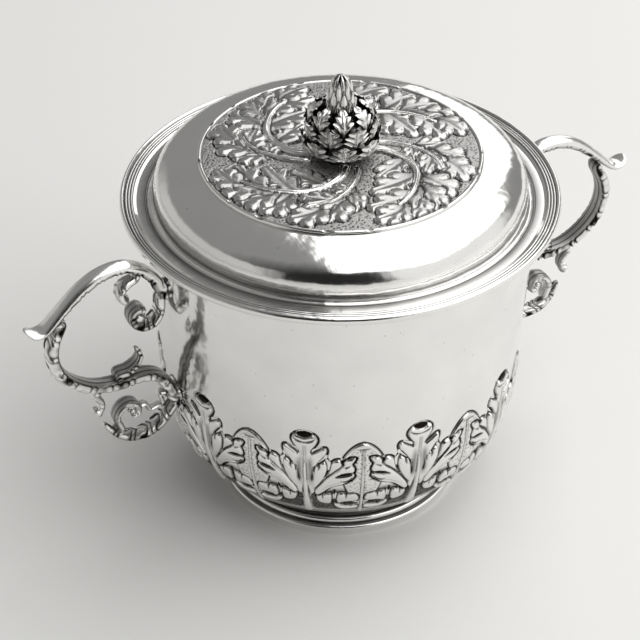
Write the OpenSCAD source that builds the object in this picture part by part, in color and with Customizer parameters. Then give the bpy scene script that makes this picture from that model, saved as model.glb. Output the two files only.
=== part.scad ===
/* [Cup] */
// Height of the cup's lip above the table
cup_h = 122.8; // [105:0.1:150]
// Outer radius of the cup at its lip
cup_lip_r = 72; // [62:0.5:85]
// Outer radius where the straight wall turns into the rounded belly
cup_belly_r = 67; // [58:0.5:80]
// Height of that turn above the table
belly_z = 56; // [45:0.5:68]
// Radius of the flat bottom, where the belly meets the foot
cup_base_r = 43.5; // [38:0.5:50]
// Thickness of the silver sheet of the cup
cup_wall = 1.1; // [0.8:0.1:2]

/* [Leaf band] */
// Number of tall chased leaves round the belly, with a round leaf between each two
leaf_count = 10; // [6:1:14]
// How far the tips of the tall leaves stand over the turn of the belly
leaf_rise = 12; // [8:0.5:20]
// Share of the belly that the leaves cover, from that turn down
leaf_cover = 0.75; // [0.6:0.01:0.85]
// Height of the tall leaves over the wall
leaf_h = 0.9; // [0.4:0.1:1.5]
// Height of the round leaves over the wall
round_leaf_h = 0.4; // [0.2:0.1:0.6]

/* [Foot] */
// Height of the moulded foot ring
foot_h = 14.2; // [11:0.2:18]
// Radius of the foot ring at the table
foot_r = 45.6; // [42:0.2:52]
// Radial thickness of the foot ring at its narrowest
foot_wall = 2; // [1.2:0.1:3]
// Radius of the round reed on the foot
foot_reed_r = 1.4; // [0.8:0.1:2]

/* [Handles] */
// Distance from the lip down to the upper root of a handle
handle_drop = 15.8; // [13:0.2:24]
// Distance from the upper root down to the lower root
handle_span = 49; // [42:0.5:56]
// Distance from the wall at the lower root out to the tip of the thumb leaf
handle_reach = 58; // [50:0.5:68]
// Width of the handle straps, along the wall
strap_w = 7; // [5:0.2:9]
// Thickness of the upper and lower scrolls
strap_t = 3.6; // [3:0.2:5]
// Thickness of the knot where the lower scroll meets the wall
knot_t = 4.5; // [3.6:0.1:6]
// Width of the thumb leaf at its tip
thumb_w = 8; // [6:0.5:12]
// Thickness of the thumb leaf at its tip
thumb_t = 2.2; // [1.6:0.1:3]
// Thickness of the curls, leaves and volutes
curl_t = 2.2; // [1.6:0.1:2.8]

/* [Cover] */
// How far the rim of the cover stands out past the lip of the cup
cover_overhang = 8; // [6:0.5:12]
// Radial width of the reeded moulding on the rim
rim_w = 6.2; // [4.5:0.1:7]
// Thickness of the reeded moulding, without its reeds
rim_t = 1.8; // [1.2:0.1:3]
// Number of round reeds on the rim moulding
rim_reeds = 3; // [2:1:5]
// Distance from the lip inwards to the foot of the raised dome
dome_inset = 4; // [3.2:0.1:8]
// Rise of the dome above its flange
dome_rise = 17; // [12:0.5:28]
// Thickness of the silver sheet of the cover
cover_wall = 1.1; // [0.8:0.1:2]
// Depth of the bezel that drops into the mouth of the cup
bezel_depth = 6; // [4:0.5:10]
// Thickness of the bezel
bezel_wall = 1; // [0.8:0.1:1.6]

/* [Rosette] */
// Radius of the chased rosette on top of the cover
rosette_r = 51.3; // [42:0.5:56]
// Thickness of the rosette plate
rosette_t = 0.6; // [0.4:0.1:2]
// Radius of the raised line around the rosette
rosette_bead_r = 0.7; // [0.4:0.1:1.2]
// Number of leafy fronds that swirl out from the finial
frond_count = 4; // [3:1:5]
// Height of the fronds above the plate
frond_h = 0.9; // [0.4:0.1:2]
// Width of a leaflet of a frond, as a share of its length
leaflet_w = 0.5; // [0.3:0.05:0.6]

/* [Finial] */
// Height of the finial above the rosette
finial_h = 31.8; // [26:0.2:42]
// Radius of the bud at its widest
bud_r = 15; // [12:0.5:18]
// Height of the calyx below the bud
calyx_h = 5.9; // [4:0.1:9]
// Radius of the calyx where it stands on the rosette
calyx_foot_r = 8.7; // [7:0.1:11]
// Radius of the calyx at its waist
calyx_waist_r = 5.6; // [4:0.1:6.8]
// Radius of the calyx under the bud
calyx_cup_r = 9.2; // [7:0.1:11]
// Height of the lower row of leaves
lower_row_h = 9.3; // [8:0.1:12]
// Height of the upper row of leaves
upper_row_h = 12.9; // [10:0.1:16]
// Radius of the upper row of leaves at its widest
upper_row_r = 10.6; // [9:0.1:10.8]
// Number of leaves in each row of the bud
bud_leaves = 8; // [6:1:12]
// Thickness of the leaves of the bud
bud_leaf_t = 1.2; // [0.8:0.1:1.8]
// Radius of the cone at its fullest
cone_r = 5.6; // [5:0.1:6.5]
// Radius of the rounded tip of the cone
cone_tip_r = 0.8; // [0.4:0.1:1.5]
// Radius of the stud that holds the finial on the cover
stud_r = 2; // [1.5:0.1:2.4]
// Distance across the corners of the nut inside the cover
nut_d = 10; // [8:0.5:14]
// Thickness of the nut
nut_h = 3; // [2:0.5:5]

/* [Fits] */
// Room between the cover and the lip it rests on
seat_gap = 0.2; // [0.1:0.05:0.5]
// Room between the bezel and the mouth of the cup
bezel_clear = 0.4; // [0.3:0.05:1]
// Room left for solder between pieces that are joined
solder_gap = 0.15; // [0.1:0.05:0.2]
// Room between the roots of straps that stand next to each other on the wall
root_gap = 0.8; // [0.7:0.1:2]
// Room around the stud in the holes it passes through
stud_clear = 0.15; // [0.1:0.05:0.3]

/* [Hidden] */

// Smoothness of turned pieces, of curved outlines and of the handle straps
turn_fn = 96;
arc_steps = 16;
strap_sides = 12;
strap_steps = 3;
// Squareness of a strap's section: 2 is an ellipse, more is squarer
strap_power = 3;
// Squareness of the dome's outline, outwards and upwards
dome_out_power = 8;
dome_up_power = 3;
// Straight lead of a strap where it meets what carries it
strap_lead = 2;
// Steps of the rosette's outline
rosette_steps = 6;
// Bare ring between the fronds and the calyx
frond_gap = 1.5;
// Turn of the fronds on the cover
frond_turn = 245;
// Half the width of a frond's stem at its end
stem_r = 0.8;
// Turn of the leaf band, which sets a tall leaf a little left of the front
leaf_turn = -20.5;
// Share of a full half round that the cove of the foot is sunk
cove_depth = 0.5;
// Small step for slopes
slope_step = 0.01;
// Extra depth of a cut past the face it opens
cut_past = 1;

// Heights that follow from the sizes above
leaf_low_z = lerp(belly_z, foot_h, leaf_cover);
leaf_tip_z = belly_z + leaf_rise;
seat_z = cup_h + seat_gap;
flange_z = seat_z + cover_wall;
upper_root_z = cup_h - handle_drop;
lower_root_z = upper_root_z - handle_span;
leaf_root_z = lower_root_z - (knot_t + curl_t) / 2 - root_gap;
volute_root_z = upper_root_z - (strap_t + curl_t) / 2 - root_gap;

// Radii that follow from the sizes above
cover_r = cup_lip_r + cover_overhang;
rim_in_r = cover_r - rim_w;
dome_r = cup_lip_r - dome_inset;
lower_root_r = cup_r(lower_root_z);
upper_root_r = cup_r(upper_root_z);
bezel_r = cup_r(seat_z - bezel_depth) - cup_wall - bezel_clear;
stud_hole_r = stud_r + stud_clear;
frond_in_r = calyx_foot_r + frond_gap;
frond_out_r = rosette_r - 2 * rosette_bead_r;

// Levels of the finial, from the rosette up
finial_z = dome_z(0) + solder_gap + rosette_t + solder_gap;
calyx_top_z = finial_z + calyx_h;
tip_z = finial_z + finial_h;
upper_row_z = calyx_top_z + bud_leaf_t + solder_gap;
cone_z = upper_row_z + bud_leaf_t + solder_gap;
stud_top_z = (cone_z + calyx_top_z + lower_row_h) / 2;
nut_z = seat_z + dome_rise - solder_gap - nut_h;
stud_foot_z = nut_z - stud_r;

function lerp(a, b, k) = a + (b - a) * k;
function unit(v) = v / norm(v);
function spow(v, power) = sign(v) * pow(abs(v), 2 / power);
function arc(c, r, a0, a1) =
    [for (i = [0 : arc_steps]) let (a = lerp(a0, a1, i / arc_steps)) c + r * [cos(a), sin(a)]];

// Outer radius of the cup at a height: a straight flaring wall over a quarter ellipse
function cup_r(z) = z >= belly_z
    ? lerp(cup_belly_r, cup_lip_r, (z - belly_z) / (cup_h - belly_z))
    : lerp(cup_base_r, cup_belly_r, sqrt(max(0, 1 - pow((belly_z - z) / (belly_z - foot_h), 2))));

// Point on the wall of the cup at a height, and the way out from it
function wall_slope(z) = (cup_r(z + slope_step) - cup_r(z - slope_step)) / (2 * slope_step);
function wall_out(z) = unit([1, -wall_slope(z)]);
function wall_root(z) = [cup_r(z), z] + solder_gap * wall_out(z);

// Quarter ellipse of the belly from the flat bottom up, set in by some thickness
function belly(inset) = [for (i = [0 : arc_steps]) let (a = 90 * i / arc_steps)
    [lerp(cup_base_r, cup_belly_r - inset, sin(a)), belly_z - (belly_z - foot_h - inset) * cos(a)]];

// Outline of the dome from the flange up to the axis, as a superellipse
function dome(out_r, base_z) = [for (i = [0 : 2 * arc_steps]) let (a = 45 * i / arc_steps)
    [out_r * spow(cos(a), dome_out_power), base_z + dome_rise * spow(sin(a), dome_up_power)]];

// Height of the dome's outer face at a radius
function dome_z(r) = flange_z + dome_rise * pow(1 - pow(r / dome_r, dome_out_power), 1 / dome_up_power);

// Smooth curve through points, at u counted in points from the first
function spline_near(line, i) = i < 0 ? 2 * line[0] - line[1]
    : i >= len(line) ? 2 * line[len(line) - 1] - line[len(line) - 2] : line[i];
function spline(line, u) =
    let (i = min(max(floor(u), 0), len(line) - 2), k = u - i,
         a = spline_near(line, i - 1), b = line[i], c = line[i + 1], d = spline_near(line, i + 2))
    b + k / 2 * ((c - a) + k * ((2 * a - 5 * b + 4 * c - d) + k * (3 * b - 3 * c + d - a)));
function spline_dir(line, u) =
    let (e = len(line) - 1)
    unit(spline(line, min(u + slope_step, e)) - spline(line, max(u - slope_step, 0)));
// Left-hand side of the curve, as one walks along it
function spline_left(line, u) = let (d = spline_dir(line, u)) [-d.y, d.x];

// Place on the side of a strap where another strap is soldered on, at a share of the strap's run.
// The side is 1 for left and -1 for right.
function run_of(line) = len(line) - 1;
function strap_seat(line, thicks, share, side) =
    let (u = share * run_of(line))
    spline(line, u) + side * (along(thicks, share) / 2 + solder_gap) * spline_left(line, u);
function strap_seat_out(line, share, side) = side * spline_left(line, share * run_of(line));

// Points of the handle: out from the line of the wall between the roots, and up from the lower root
function handle_points(shares) = [for (s = shares)
    [lerp(lower_root_r, upper_root_r, s.y) + s.x * handle_reach, lower_root_z + s.y * handle_span]];
// A line that leaves a seat square to it and then goes through some points
function from_seat(seat, out, shares) = concat([seat, seat + strap_lead * out], handle_points(shares));

upper_scroll_line = from_seat(wall_root(upper_root_z), wall_out(upper_root_z), [
    [0.062, 1.08], [0.13, 1.18], [0.231, 1.25], [0.33, 1.26], [0.437, 1.23], [0.547, 1.16],
    [0.653, 1.06], [0.749, 0.96], [0.813, 0.905], [0.873, 0.9], [0.93, 0.95]]);
// Thickness of the upper scroll along its line, thinner towards the thumb leaf
upper_thicks = [strap_t, strap_t, thumb_t];

// Where the lower scroll and the upper leaf hang from the upper scroll, as shares of its run
lower_on_upper_share = 0.7333;
leaf_on_upper_share = 0.2667;

lower_scroll_line = concat(
    from_seat(strap_seat(upper_scroll_line, upper_thicks, lower_on_upper_share, -1),
              strap_seat_out(upper_scroll_line, lower_on_upper_share, -1), [
        [0.755, 0.79], [0.778, 0.66], [0.757, 0.52], [0.694, 0.405], [0.6, 0.315], [0.508, 0.27],
        [0.404, 0.255], [0.299, 0.26], [0.199, 0.255], [0.126, 0.215], [0.077, 0.13]]),
    [wall_root(lower_root_z) + strap_lead * wall_out(lower_root_z), wall_root(lower_root_z)]);
// Thickness of the lower scroll along its line, thicker at the knot
lower_thicks = [strap_t, strap_t, knot_t];

upper_volute_line = from_seat(wall_root(volute_root_z), wall_out(volute_root_z), [
    [0.047, 0.845], [0.066, 0.77], [0.115, 0.71], [0.186, 0.7], [0.242, 0.755], [0.242, 0.84],
    [0.19, 0.875], [0.152, 0.84]]);

upper_leaf_line = from_seat(
    strap_seat(upper_scroll_line, upper_thicks, leaf_on_upper_share, -1),
    strap_seat_out(upper_scroll_line, leaf_on_upper_share, -1), [
    [0.25, 1.105], [0.294, 1.05], [0.283, 0.985], [0.238, 0.98]]);

// Where the sprig, the drop curl and the tendril grow from the lower scroll, as shares of its run
sprig_on_lower_share = 0.5821;
drop_on_lower_share = 0.4857;
tendril_on_lower_share = 0.8929;

leaf_sprig_line = from_seat(
    strap_seat(lower_scroll_line, lower_thicks, sprig_on_lower_share, -1),
    strap_seat_out(lower_scroll_line, sprig_on_lower_share, -1), [
    [0.313, 0.345], [0.25, 0.395], [0.226, 0.455], [0.252, 0.525]]);

drop_curl_line = from_seat(
    strap_seat(lower_scroll_line, lower_thicks, drop_on_lower_share, 1),
    strap_seat_out(lower_scroll_line, drop_on_lower_share, 1), [
    [0.517, 0.12], [0.531, 0.055], [0.574, 0.015]]);

// Thicknesses of a curl, the same all along, and of a leaf, thinner at its tip
curl_thicks = [curl_t, curl_t, curl_t];
leaf_thicks = [curl_t, curl_t, curl_t / 2];

base_leaf_line = from_seat(wall_root(leaf_root_z), wall_out(leaf_root_z), [
    [0.095, -0.155], [0.165, -0.235], [0.263, -0.285], [0.367, -0.275], [0.449, -0.22], [0.499, -0.15],
    [0.525, -0.08]]);

// Where the base volute grows from the base leaf, and where the tendril meets that volute, as shares
volute_on_leaf_share = 0.7625;
tendril_on_volute_share = 0.7643;

base_volute_line = from_seat(
    strap_seat(base_leaf_line, leaf_thicks, volute_on_leaf_share, 1),
    strap_seat_out(base_leaf_line, volute_on_leaf_share, 1), [
    [0.439, -0.07], [0.404, 0.01], [0.338, 0.04], [0.29, 0], [0.299, -0.065], [0.345, -0.08]]);

tendril_end = strap_seat(base_volute_line, curl_thicks, tendril_on_volute_share, -1);
base_tendril_line = concat(
    from_seat(strap_seat(lower_scroll_line, lower_thicks, tendril_on_lower_share, 1),
              strap_seat_out(lower_scroll_line, tendril_on_lower_share, 1), [[0.123, -0.05], [0.205, -0.08]]),
    [tendril_end + strap_lead * strap_seat_out(base_volute_line, tendril_on_volute_share, -1), tendril_end]);

// A strap swept along a line in the upright plane of the handle, with a rounded-square section.
// Its width and its thickness are lists of three: at the start, in the middle and at the end.
function along(sizes, k) = k < 0.5 ? lerp(sizes[0], sizes[1], 2 * k) : lerp(sizes[1], sizes[2], 2 * k - 1);
function ring(p, left, w, t) = [for (i = [0 : strap_sides - 1])
    let (a = 360 * i / strap_sides, s = t / 2 * spow(cos(a), strap_power))
    [p.x + left.x * s, w / 2 * spow(sin(a), strap_power), p.y + left.y * s]];
module strap(line, widths, thicks) {
    rings = run_of(line) * strap_steps;
    points = [for (j = [0 : rings]) let (u = j / strap_steps, k = j / rings)
        each ring(spline(line, u), spline_left(line, u), along(widths, k), along(thicks, k))];
    sides = [for (j = [0 : rings - 1]) for (i = [0 : strap_sides - 1])
        let (a = j * strap_sides + i, b = j * strap_sides + (i + 1) % strap_sides)
        each [[a, b, a + strap_sides], [b, b + strap_sides, a + strap_sides]]];
    last = rings * strap_sides;
    start_cap = [for (i = [1 : strap_sides - 2]) [0, i + 1, i]];
    end_cap = [for (i = [1 : strap_sides - 2]) [last, last + i, last + i + 1]];
    polyhedron(points, concat(start_cap, sides, end_cap));
}

module turned(outline) {
    rotate_extrude($fn = turn_fn) polygon(outline);
}

module left_side() {
    rotate([0, 0, 180]) children();
}

module cup_body() {
    outer = belly(0);
    inner = belly(cup_wall);
    lip = [[cup_lip_r, cup_h], [cup_lip_r - cup_wall, cup_h]];
    color("silver") {
        turned(concat([[0, foot_h]], outer, lip, [for (i = [arc_steps : -1 : 0]) inner[i]],
                      [[0, foot_h + cup_wall]]));
        raised(leaf_h)
            for (i = [0 : leaf_count - 1])
                leaf_at(i) {
                    polygon(both_sides(tall_leaf));
                    polygon(base_lobe);
                    mirror([1, 0]) polygon(base_lobe);
                }
        raised(round_leaf_h)
            for (i = [0 : leaf_count - 1])
                leaf_at(i + 0.5) polygon(both_sides(round_leaf));
    }
}

// Half outlines of the leaves, from the middle out: across as shares of half the room of a leaf,
// and up as shares of the height of the band
tall_leaf = leaf_points([
    [0, 1], [0.18, 0.97], [0.28, 0.89], [0.13, 0.78], [0.38, 0.85], [0.38, 0.76], [0.23, 0.64], [0.35, 0.66],
    [0.41, 0.58], [0.52, 0.68], [0.87, 0.71], [0.85, 0.51], [0.67, 0.41], [0.47, 0.37], [0.16, 0.2], [0.1, 0]]);
round_leaf = leaf_points([
    [0, 0.88], [0.1, 0.86], [0.2, 0.82], [0.3, 0.74], [0.35, 0.66], [0.34, 0.42], [0.25, 0.26], [0.05, 0]]);
base_lobe = leaf_points([[0.54, 0.15], [0.58, 0.29], [0.88, 0.28], [0.94, 0.19], [0.8, 0.15]]);
function leaf_points(shares) = [for (s = shares)
    [s.x * PI * cup_belly_r / leaf_count, lerp(leaf_low_z, leaf_tip_z, s.y)]];
function both_sides(half) = concat(half, [for (i = [len(half) - 1 : -1 : 0]) [-half[i].x, half[i].y]]);

// A flat outline carried straight out through the wall, at a place round the cup counted in leaves
module leaf_at(place) {
    rotate([0, 0, leaf_turn + 360 * place / leaf_count])
        translate([cup_base_r, 0, 0])
            rotate([90, 0, 90])
                linear_extrude(height = cup_lip_r) children();
}

// What of its children lies in the wall or up to some height over it, with the wall bare where handles stand
module raised(height) {
    top_z = leaf_tip_z + cut_past;
    bare_w = strap_w + 2 * root_gap;
    bare_low_z = leaf_root_z - curl_t / 2 - root_gap;
    bare_high_z = lower_root_z + knot_t / 2 + root_gap;
    inner = belly(cup_wall / 2);
    outer = belly(-height);
    difference() {
        intersection() {
            turned(concat(inner, [[cup_r(top_z) - cup_wall / 2, top_z], [cup_r(top_z) + height, top_z]],
                          [for (i = [arc_steps : -1 : 0]) outer[i]]));
            union() children();
        }
        for (turn = [0, 180])
            rotate([0, 0, turn])
                translate([0, -bare_w / 2, bare_low_z])
                    cube([cup_lip_r + height, bare_w, bare_high_z - bare_low_z]);
    }
}

module foot_ring() {
    top_z = foot_h - solder_gap;
    base_h = 3 * foot_reed_r;
    reed_z = base_h + foot_reed_r;
    neck_r = foot_r - 2 * foot_reed_r;
    cove_h = top_z - reed_z - foot_reed_r;
    cove = arc([neck_r, top_z - cove_h / 2], cove_h / 2, 90, 270);
    color("silver")
        turned(concat(
            [[neck_r - foot_wall - foot_reed_r, top_z]],
            [for (p = cove) [lerp(neck_r, p.x, cove_depth), p.y]],
            arc([neck_r, reed_z], foot_reed_r, 90, -90),
            arc([foot_r - foot_reed_r, base_h - foot_reed_r], foot_reed_r, 90, 0),
            [[foot_r, 0], [neck_r - foot_wall, 0]]));
}

module upper_scroll() {
    color("silver") strap(upper_scroll_line, [strap_w, strap_w, thumb_w], upper_thicks);
}

module upper_volute() {
    color("silver") strap(upper_volute_line, [strap_w, strap_w, strap_w], curl_thicks);
}

module upper_leaf() {
    color("silver") strap(upper_leaf_line, [strap_w, strap_w, strap_w], curl_thicks);
}

module lower_scroll() {
    color("silver") strap(lower_scroll_line, [strap_w, strap_w, strap_w], lower_thicks);
}

module leaf_sprig() {
    color("silver") strap(leaf_sprig_line, [strap_w, strap_w, curl_t], leaf_thicks);
}

module drop_curl() {
    color("silver") strap(drop_curl_line, [strap_w, strap_w / 2, strap_w / 2], curl_thicks);
}

module base_leaf() {
    color("silver") strap(base_leaf_line, [strap_w, strap_w, strap_w / 2], leaf_thicks);
}

module base_volute() {
    color("silver") strap(base_volute_line, [strap_w, strap_w, strap_w], curl_thicks);
}

module base_tendril() {
    color("silver") strap(base_tendril_line, [strap_w, strap_w, strap_w], curl_thicks);
}

module cover_dome() {
    edge_r = rim_in_r - solder_gap;
    outer = dome(dome_r, flange_z);
    inner = dome(dome_r - cover_wall, seat_z);
    top = len(outer) - 1;
    color("silver")
        difference() {
            turned(concat([[edge_r, seat_z], [edge_r, flange_z]], outer,
                          [for (i = [top : -1 : 0]) inner[i]]));
            translate([0, 0, seat_z])
                cylinder(h = dome_rise + cover_wall + cut_past, r = stud_hole_r, $fn = turn_fn);
        }
}

module cover_rim() {
    reed_r = rim_w / (2 * rim_reeds);
    top_z = seat_z + rim_t;
    color("silver")
        turned(concat(
            [[rim_in_r, seat_z]],
            [for (i = [0 : rim_reeds - 1])
                each arc([rim_in_r + (2 * i + 1) * reed_r, top_z], reed_r, 180, 0)],
            [[cover_r, seat_z]]));
}

module cover_bezel() {
    top_z = seat_z - solder_gap;
    color("silver")
        translate([0, 0, seat_z - bezel_depth])
            difference() {
                cylinder(h = top_z - seat_z + bezel_depth, r = bezel_r, $fn = turn_fn);
                translate([0, 0, -cut_past])
                    cylinder(h = bezel_depth + 2 * cut_past, r = bezel_r - bezel_wall, $fn = turn_fn);
            }
}

// Line just over the dome between two radii
function rosette_line(from_r, to_r) = [for (i = [0 : rosette_steps])
    let (r = lerp(from_r, to_r, i / rosette_steps)) [r, dome_z(r) + solder_gap]];
module cover_rosette() {
    under = rosette_line(stud_hole_r, rosette_r);
    frond_under = rosette_line(frond_in_r, frond_out_r);
    bead_z = dome_z(rosette_r) + solder_gap + rosette_t;
    color("silver") {
        turned(concat(
            under,
            arc([rosette_r - rosette_bead_r, bead_z], rosette_bead_r, 0, 180),
            [for (i = [rosette_steps - 1 : -1 : 0]) under[i] + [0, rosette_t]]));
        // The fronds rise from inside the plate and follow the dome
        intersection() {
            turned(concat([for (p = frond_under) p + [0, rosette_t / 2]],
                          [for (i = [rosette_steps : -1 : 0]) frond_under[i] + [0, rosette_t + frond_h]]));
            linear_extrude(height = finial_z + frond_h)
                for (i = [0 : frond_count - 1])
                    rotate(frond_turn + 360 * i / frond_count) frond();
        }
    }
}

// A frond seen from above: a stem that swings clockwise on its way out, a side stem, and leaflets.
// Places are given as shares of the rosette's radius and degrees.
main_stem = [[0.21, 6], [0.31, 0], [0.39, -8], [0.49, -17], [0.58, -29], [0.66, -42], [0.73, -53]];
side_stem = [[0.25, 25], [0.41, 11], [0.55, 0], [0.66, -10], [0.75, -20]];
leaflets = [
    [[0.36, -6], [0.49, -54]], [[0.47, -15], [0.58, -63]], [[0.58, -28], [0.69, -69]], [[0.66, -42], [0.85, -76]],
    [[0.72, -51], [0.94, -73]], [[0.71, -49], [0.96, -60]], [[0.67, -43], [0.96, -49]], [[0.62, -36], [0.95, -39]],
    [[0.72, -17], [0.94, -30]], [[0.66, -10], [0.89, -20]], [[0.58, -3], [0.82, -9]], [[0.51, 3], [0.7, 2]],
    [[0.47, 6], [0.54, -13]], [[0.57, -2], [0.64, -24]]];
function on_rosette(p) = rosette_r * p[0] * [cos(p[1]), sin(p[1])];
module frond() {
    stem(main_stem, 2 * stem_r);
    stem(side_stem, stem_r);
    for (l = leaflets) leaflet(on_rosette(l[0]), on_rosette(l[1]));
}
module stem(places, root_r) {
    line = [for (p = places) on_rosette(p)];
    last = run_of(line);
    edges = [for (i = [0 : last]) lerp(root_r, stem_r, i / last) * spline_left(line, i)];
    polygon(concat([for (i = [0 : last]) line[i] + edges[i]], [for (i = [last : -1 : 0]) line[i] - edges[i]]));
}
module leaflet(root, tip) {
    way = tip - root;
    side = leaflet_w / 2 * [-way.y, way.x];
    // Shares of the way to the tip, and of the full width there, up one edge of a leaflet
    edge = [[0, 0.25], [0.6, 1], [0.85, 0.9]];
    polygon(concat([for (e = edge) root + e.x * way + e.y * side], [tip],
                   [for (i = [len(edge) - 1 : -1 : 0]) root + edge[i].x * way - edge[i].y * side]));
}

module finial_calyx() {
    top_z = calyx_top_z - solder_gap;
    // Heights of the foot's edge and of the two ends of the waist, as shares of the calyx
    edge_z = lerp(finial_z, top_z, 0.15);
    waist_low_z = lerp(finial_z, top_z, 0.45);
    waist_high_z = lerp(finial_z, top_z, 0.6);
    color("silver")
        turned([[stud_hole_r, finial_z], [calyx_foot_r, finial_z], [calyx_foot_r, edge_z],
                [calyx_waist_r, waist_low_z], [calyx_waist_r, waist_high_z], [calyx_cup_r, top_z],
                [stud_hole_r, top_z]]);
}

// A row of bud leaves: a thin turned cup whose rim is notched between the leaves
module leaf_row(base_z, wide_r, row_h, turn) {
    base_r = wide_r / 2;
    // Height where the leaves turn upright, and depth of the notches, as shares of the row
    wide_z = base_z + 0.55 * row_h;
    notch_h = 0.65 * row_h;
    notch_w = PI * wide_r / (2 * bud_leaves);
    top_z = base_z + row_h;
    angles = [for (i = [0 : arc_steps]) 90 * i / arc_steps];
    skin = [for (a = angles) [lerp(base_r, wide_r, sin(a)), lerp(wide_z, base_z, cos(a))]];
    lining = [for (i = [arc_steps : -1 : 0]) skin[i] + bud_leaf_t * [-sin(angles[i]), cos(angles[i])]];
    difference() {
        turned(concat([[stud_hole_r, base_z]], skin, [[wide_r, top_z], [wide_r - bud_leaf_t, top_z]], lining,
                      [[stud_hole_r, base_z + bud_leaf_t]]));
        for (i = [0 : bud_leaves - 1])
            rotate([0, 0, turn + 360 * (i + 0.5) / bud_leaves])
                translate([base_r, 0, top_z + cut_past])
                    rotate([90, 0, 90])
                        linear_extrude(height = wide_r)
                            polygon([[-notch_w, 0], [notch_w, 0], [0, -notch_h - cut_past]]);
    }
}

module finial_lower_leaves() {
    color("silver") leaf_row(calyx_top_z, bud_r, lower_row_h, 0);
}

module finial_upper_leaves() {
    color("silver") leaf_row(upper_row_z, upper_row_r, upper_row_h, 180 / bud_leaves);
}

module finial_cone() {
    // Height of the cone's fullest part, as a share of the cone, and how hollow its taper is
    full_z = lerp(cone_z, tip_z, 0.25);
    hollow = 1.3;
    taper = [for (i = [0 : arc_steps]) let (k = i / arc_steps)
        [lerp(cone_tip_r, cone_r, pow(1 - k, hollow)), lerp(full_z, tip_z - cone_tip_r, k)]];
    color("silver")
        difference() {
            turned(concat([[0, cone_z], [upper_row_r / 2 - bud_leaf_t, cone_z]], taper, [[0, tip_z]]));
            translate([0, 0, cone_z - cut_past])
                cylinder(h = stud_top_z + solder_gap - cone_z + cut_past, r = stud_hole_r, $fn = turn_fn);
        }
}

module finial_stud() {
    color("silver")
        translate([0, 0, stud_foot_z])
            cylinder(h = stud_top_z - stud_foot_z, r = stud_r, $fn = turn_fn);
}

module finial_nut() {
    color("silver")
        translate([0, 0, nut_z])
            difference() {
                cylinder(h = nut_h, d = nut_d, $fn = 6);
                translate([0, 0, -cut_past])
                    cylinder(h = nut_h + 2 * cut_past, r = stud_r + solder_gap, $fn = turn_fn);
            }
}

cup_body();
foot_ring();
left_side() upper_scroll();  // left_upper_scroll
left_side() upper_volute();  // left_upper_volute
left_side() upper_leaf();  // left_upper_leaf
left_side() lower_scroll();  // left_lower_scroll
left_side() leaf_sprig();  // left_leaf_sprig
left_side() drop_curl();  // left_drop_curl
left_side() base_leaf();  // left_base_leaf
left_side() base_volute();  // left_base_volute
left_side() base_tendril();  // left_base_tendril
upper_scroll();  // right_upper_scroll
upper_volute();  // right_upper_volute
upper_leaf();  // right_upper_leaf
lower_scroll();  // right_lower_scroll
leaf_sprig();  // right_leaf_sprig
drop_curl();  // right_drop_curl
base_leaf();  // right_base_leaf
base_volute();  // right_base_volute
base_tendril();  // right_base_tendril
cover_dome();
cover_rim();
cover_bezel();
cover_rosette();
finial_calyx();
finial_lower_leaves();
finial_upper_leaves();
finial_cone();
finial_stud();
finial_nut();
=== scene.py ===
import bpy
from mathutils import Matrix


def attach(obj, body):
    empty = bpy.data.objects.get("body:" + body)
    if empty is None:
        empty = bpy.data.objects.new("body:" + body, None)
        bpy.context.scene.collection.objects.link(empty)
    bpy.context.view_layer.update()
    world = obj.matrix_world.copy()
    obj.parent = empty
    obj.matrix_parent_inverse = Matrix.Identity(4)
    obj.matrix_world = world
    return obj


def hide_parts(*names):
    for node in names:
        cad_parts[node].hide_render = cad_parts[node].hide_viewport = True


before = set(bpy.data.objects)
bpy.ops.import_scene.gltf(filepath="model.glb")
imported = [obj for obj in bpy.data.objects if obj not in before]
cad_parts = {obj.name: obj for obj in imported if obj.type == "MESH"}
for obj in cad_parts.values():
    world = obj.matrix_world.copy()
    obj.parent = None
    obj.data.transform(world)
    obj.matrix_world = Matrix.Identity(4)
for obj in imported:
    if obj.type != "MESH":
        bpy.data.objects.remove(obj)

from types import SimpleNamespace

import bpy
import numpy as np
from mathutils import Quaternion, Vector

bl_info = {
    "name": "Covered Caudle Cup",
    "version": (1, 0, 0),
    "blender": (4, 5, 0),
    "location": "View3D > Sidebar > Caudle Cup",
    "description": "Builds the silver surfaces of a two-handled caudle cup with its cover",
    "category": "Add Mesh",
}

MM = 1000.0
FULL_TURN = 2 * np.pi
HANDLE_SIDES = (("right", 1), ("left", -1))


# Settings


def millimetres(label, size, text):
    """Length property whose default is given in millimetres and kept in metres."""
    return bpy.props.FloatProperty(
        name=label, description=text, default=size / MM, min=0, precision=5, unit="LENGTH")


def degrees(label, angle, text):
    """Angle property whose default is given in degrees."""
    return bpy.props.FloatProperty(name=label, description=text, default=np.radians(angle), subtype="ANGLE")


def watts(label, power, text):
    """Power of a lamp."""
    return bpy.props.FloatProperty(name=label, description=text, default=power, min=0, unit="POWER")


def factor(label, value, text):
    """Plain number from 0 to 1."""
    return bpy.props.FloatProperty(
        name=label, description=text, default=value, min=0, max=1, subtype="FACTOR")


def count(label, amount, low, high, text):
    """Whole number between two limits."""
    return bpy.props.IntProperty(name=label, description=text, default=amount, min=low, max=high)


def linear(code):
    """Turns an sRGB hex code into linear red, green, blue and alpha."""
    srgb = np.array([int(code[i:i + 2], 16) / 255 for i in (1, 3, 5)])
    values = np.where(srgb <= 0.04045, srgb / 12.92, ((srgb + 0.055) / 1.055) ** 2.4)
    return (*map(float, values), 1.0)


def colour(label, code, text):
    """Colour property whose default is given as a hex code."""
    return bpy.props.FloatVectorProperty(
        name=label, description=text, default=linear(code), size=4, min=0, max=1, subtype="COLOR")


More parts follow.
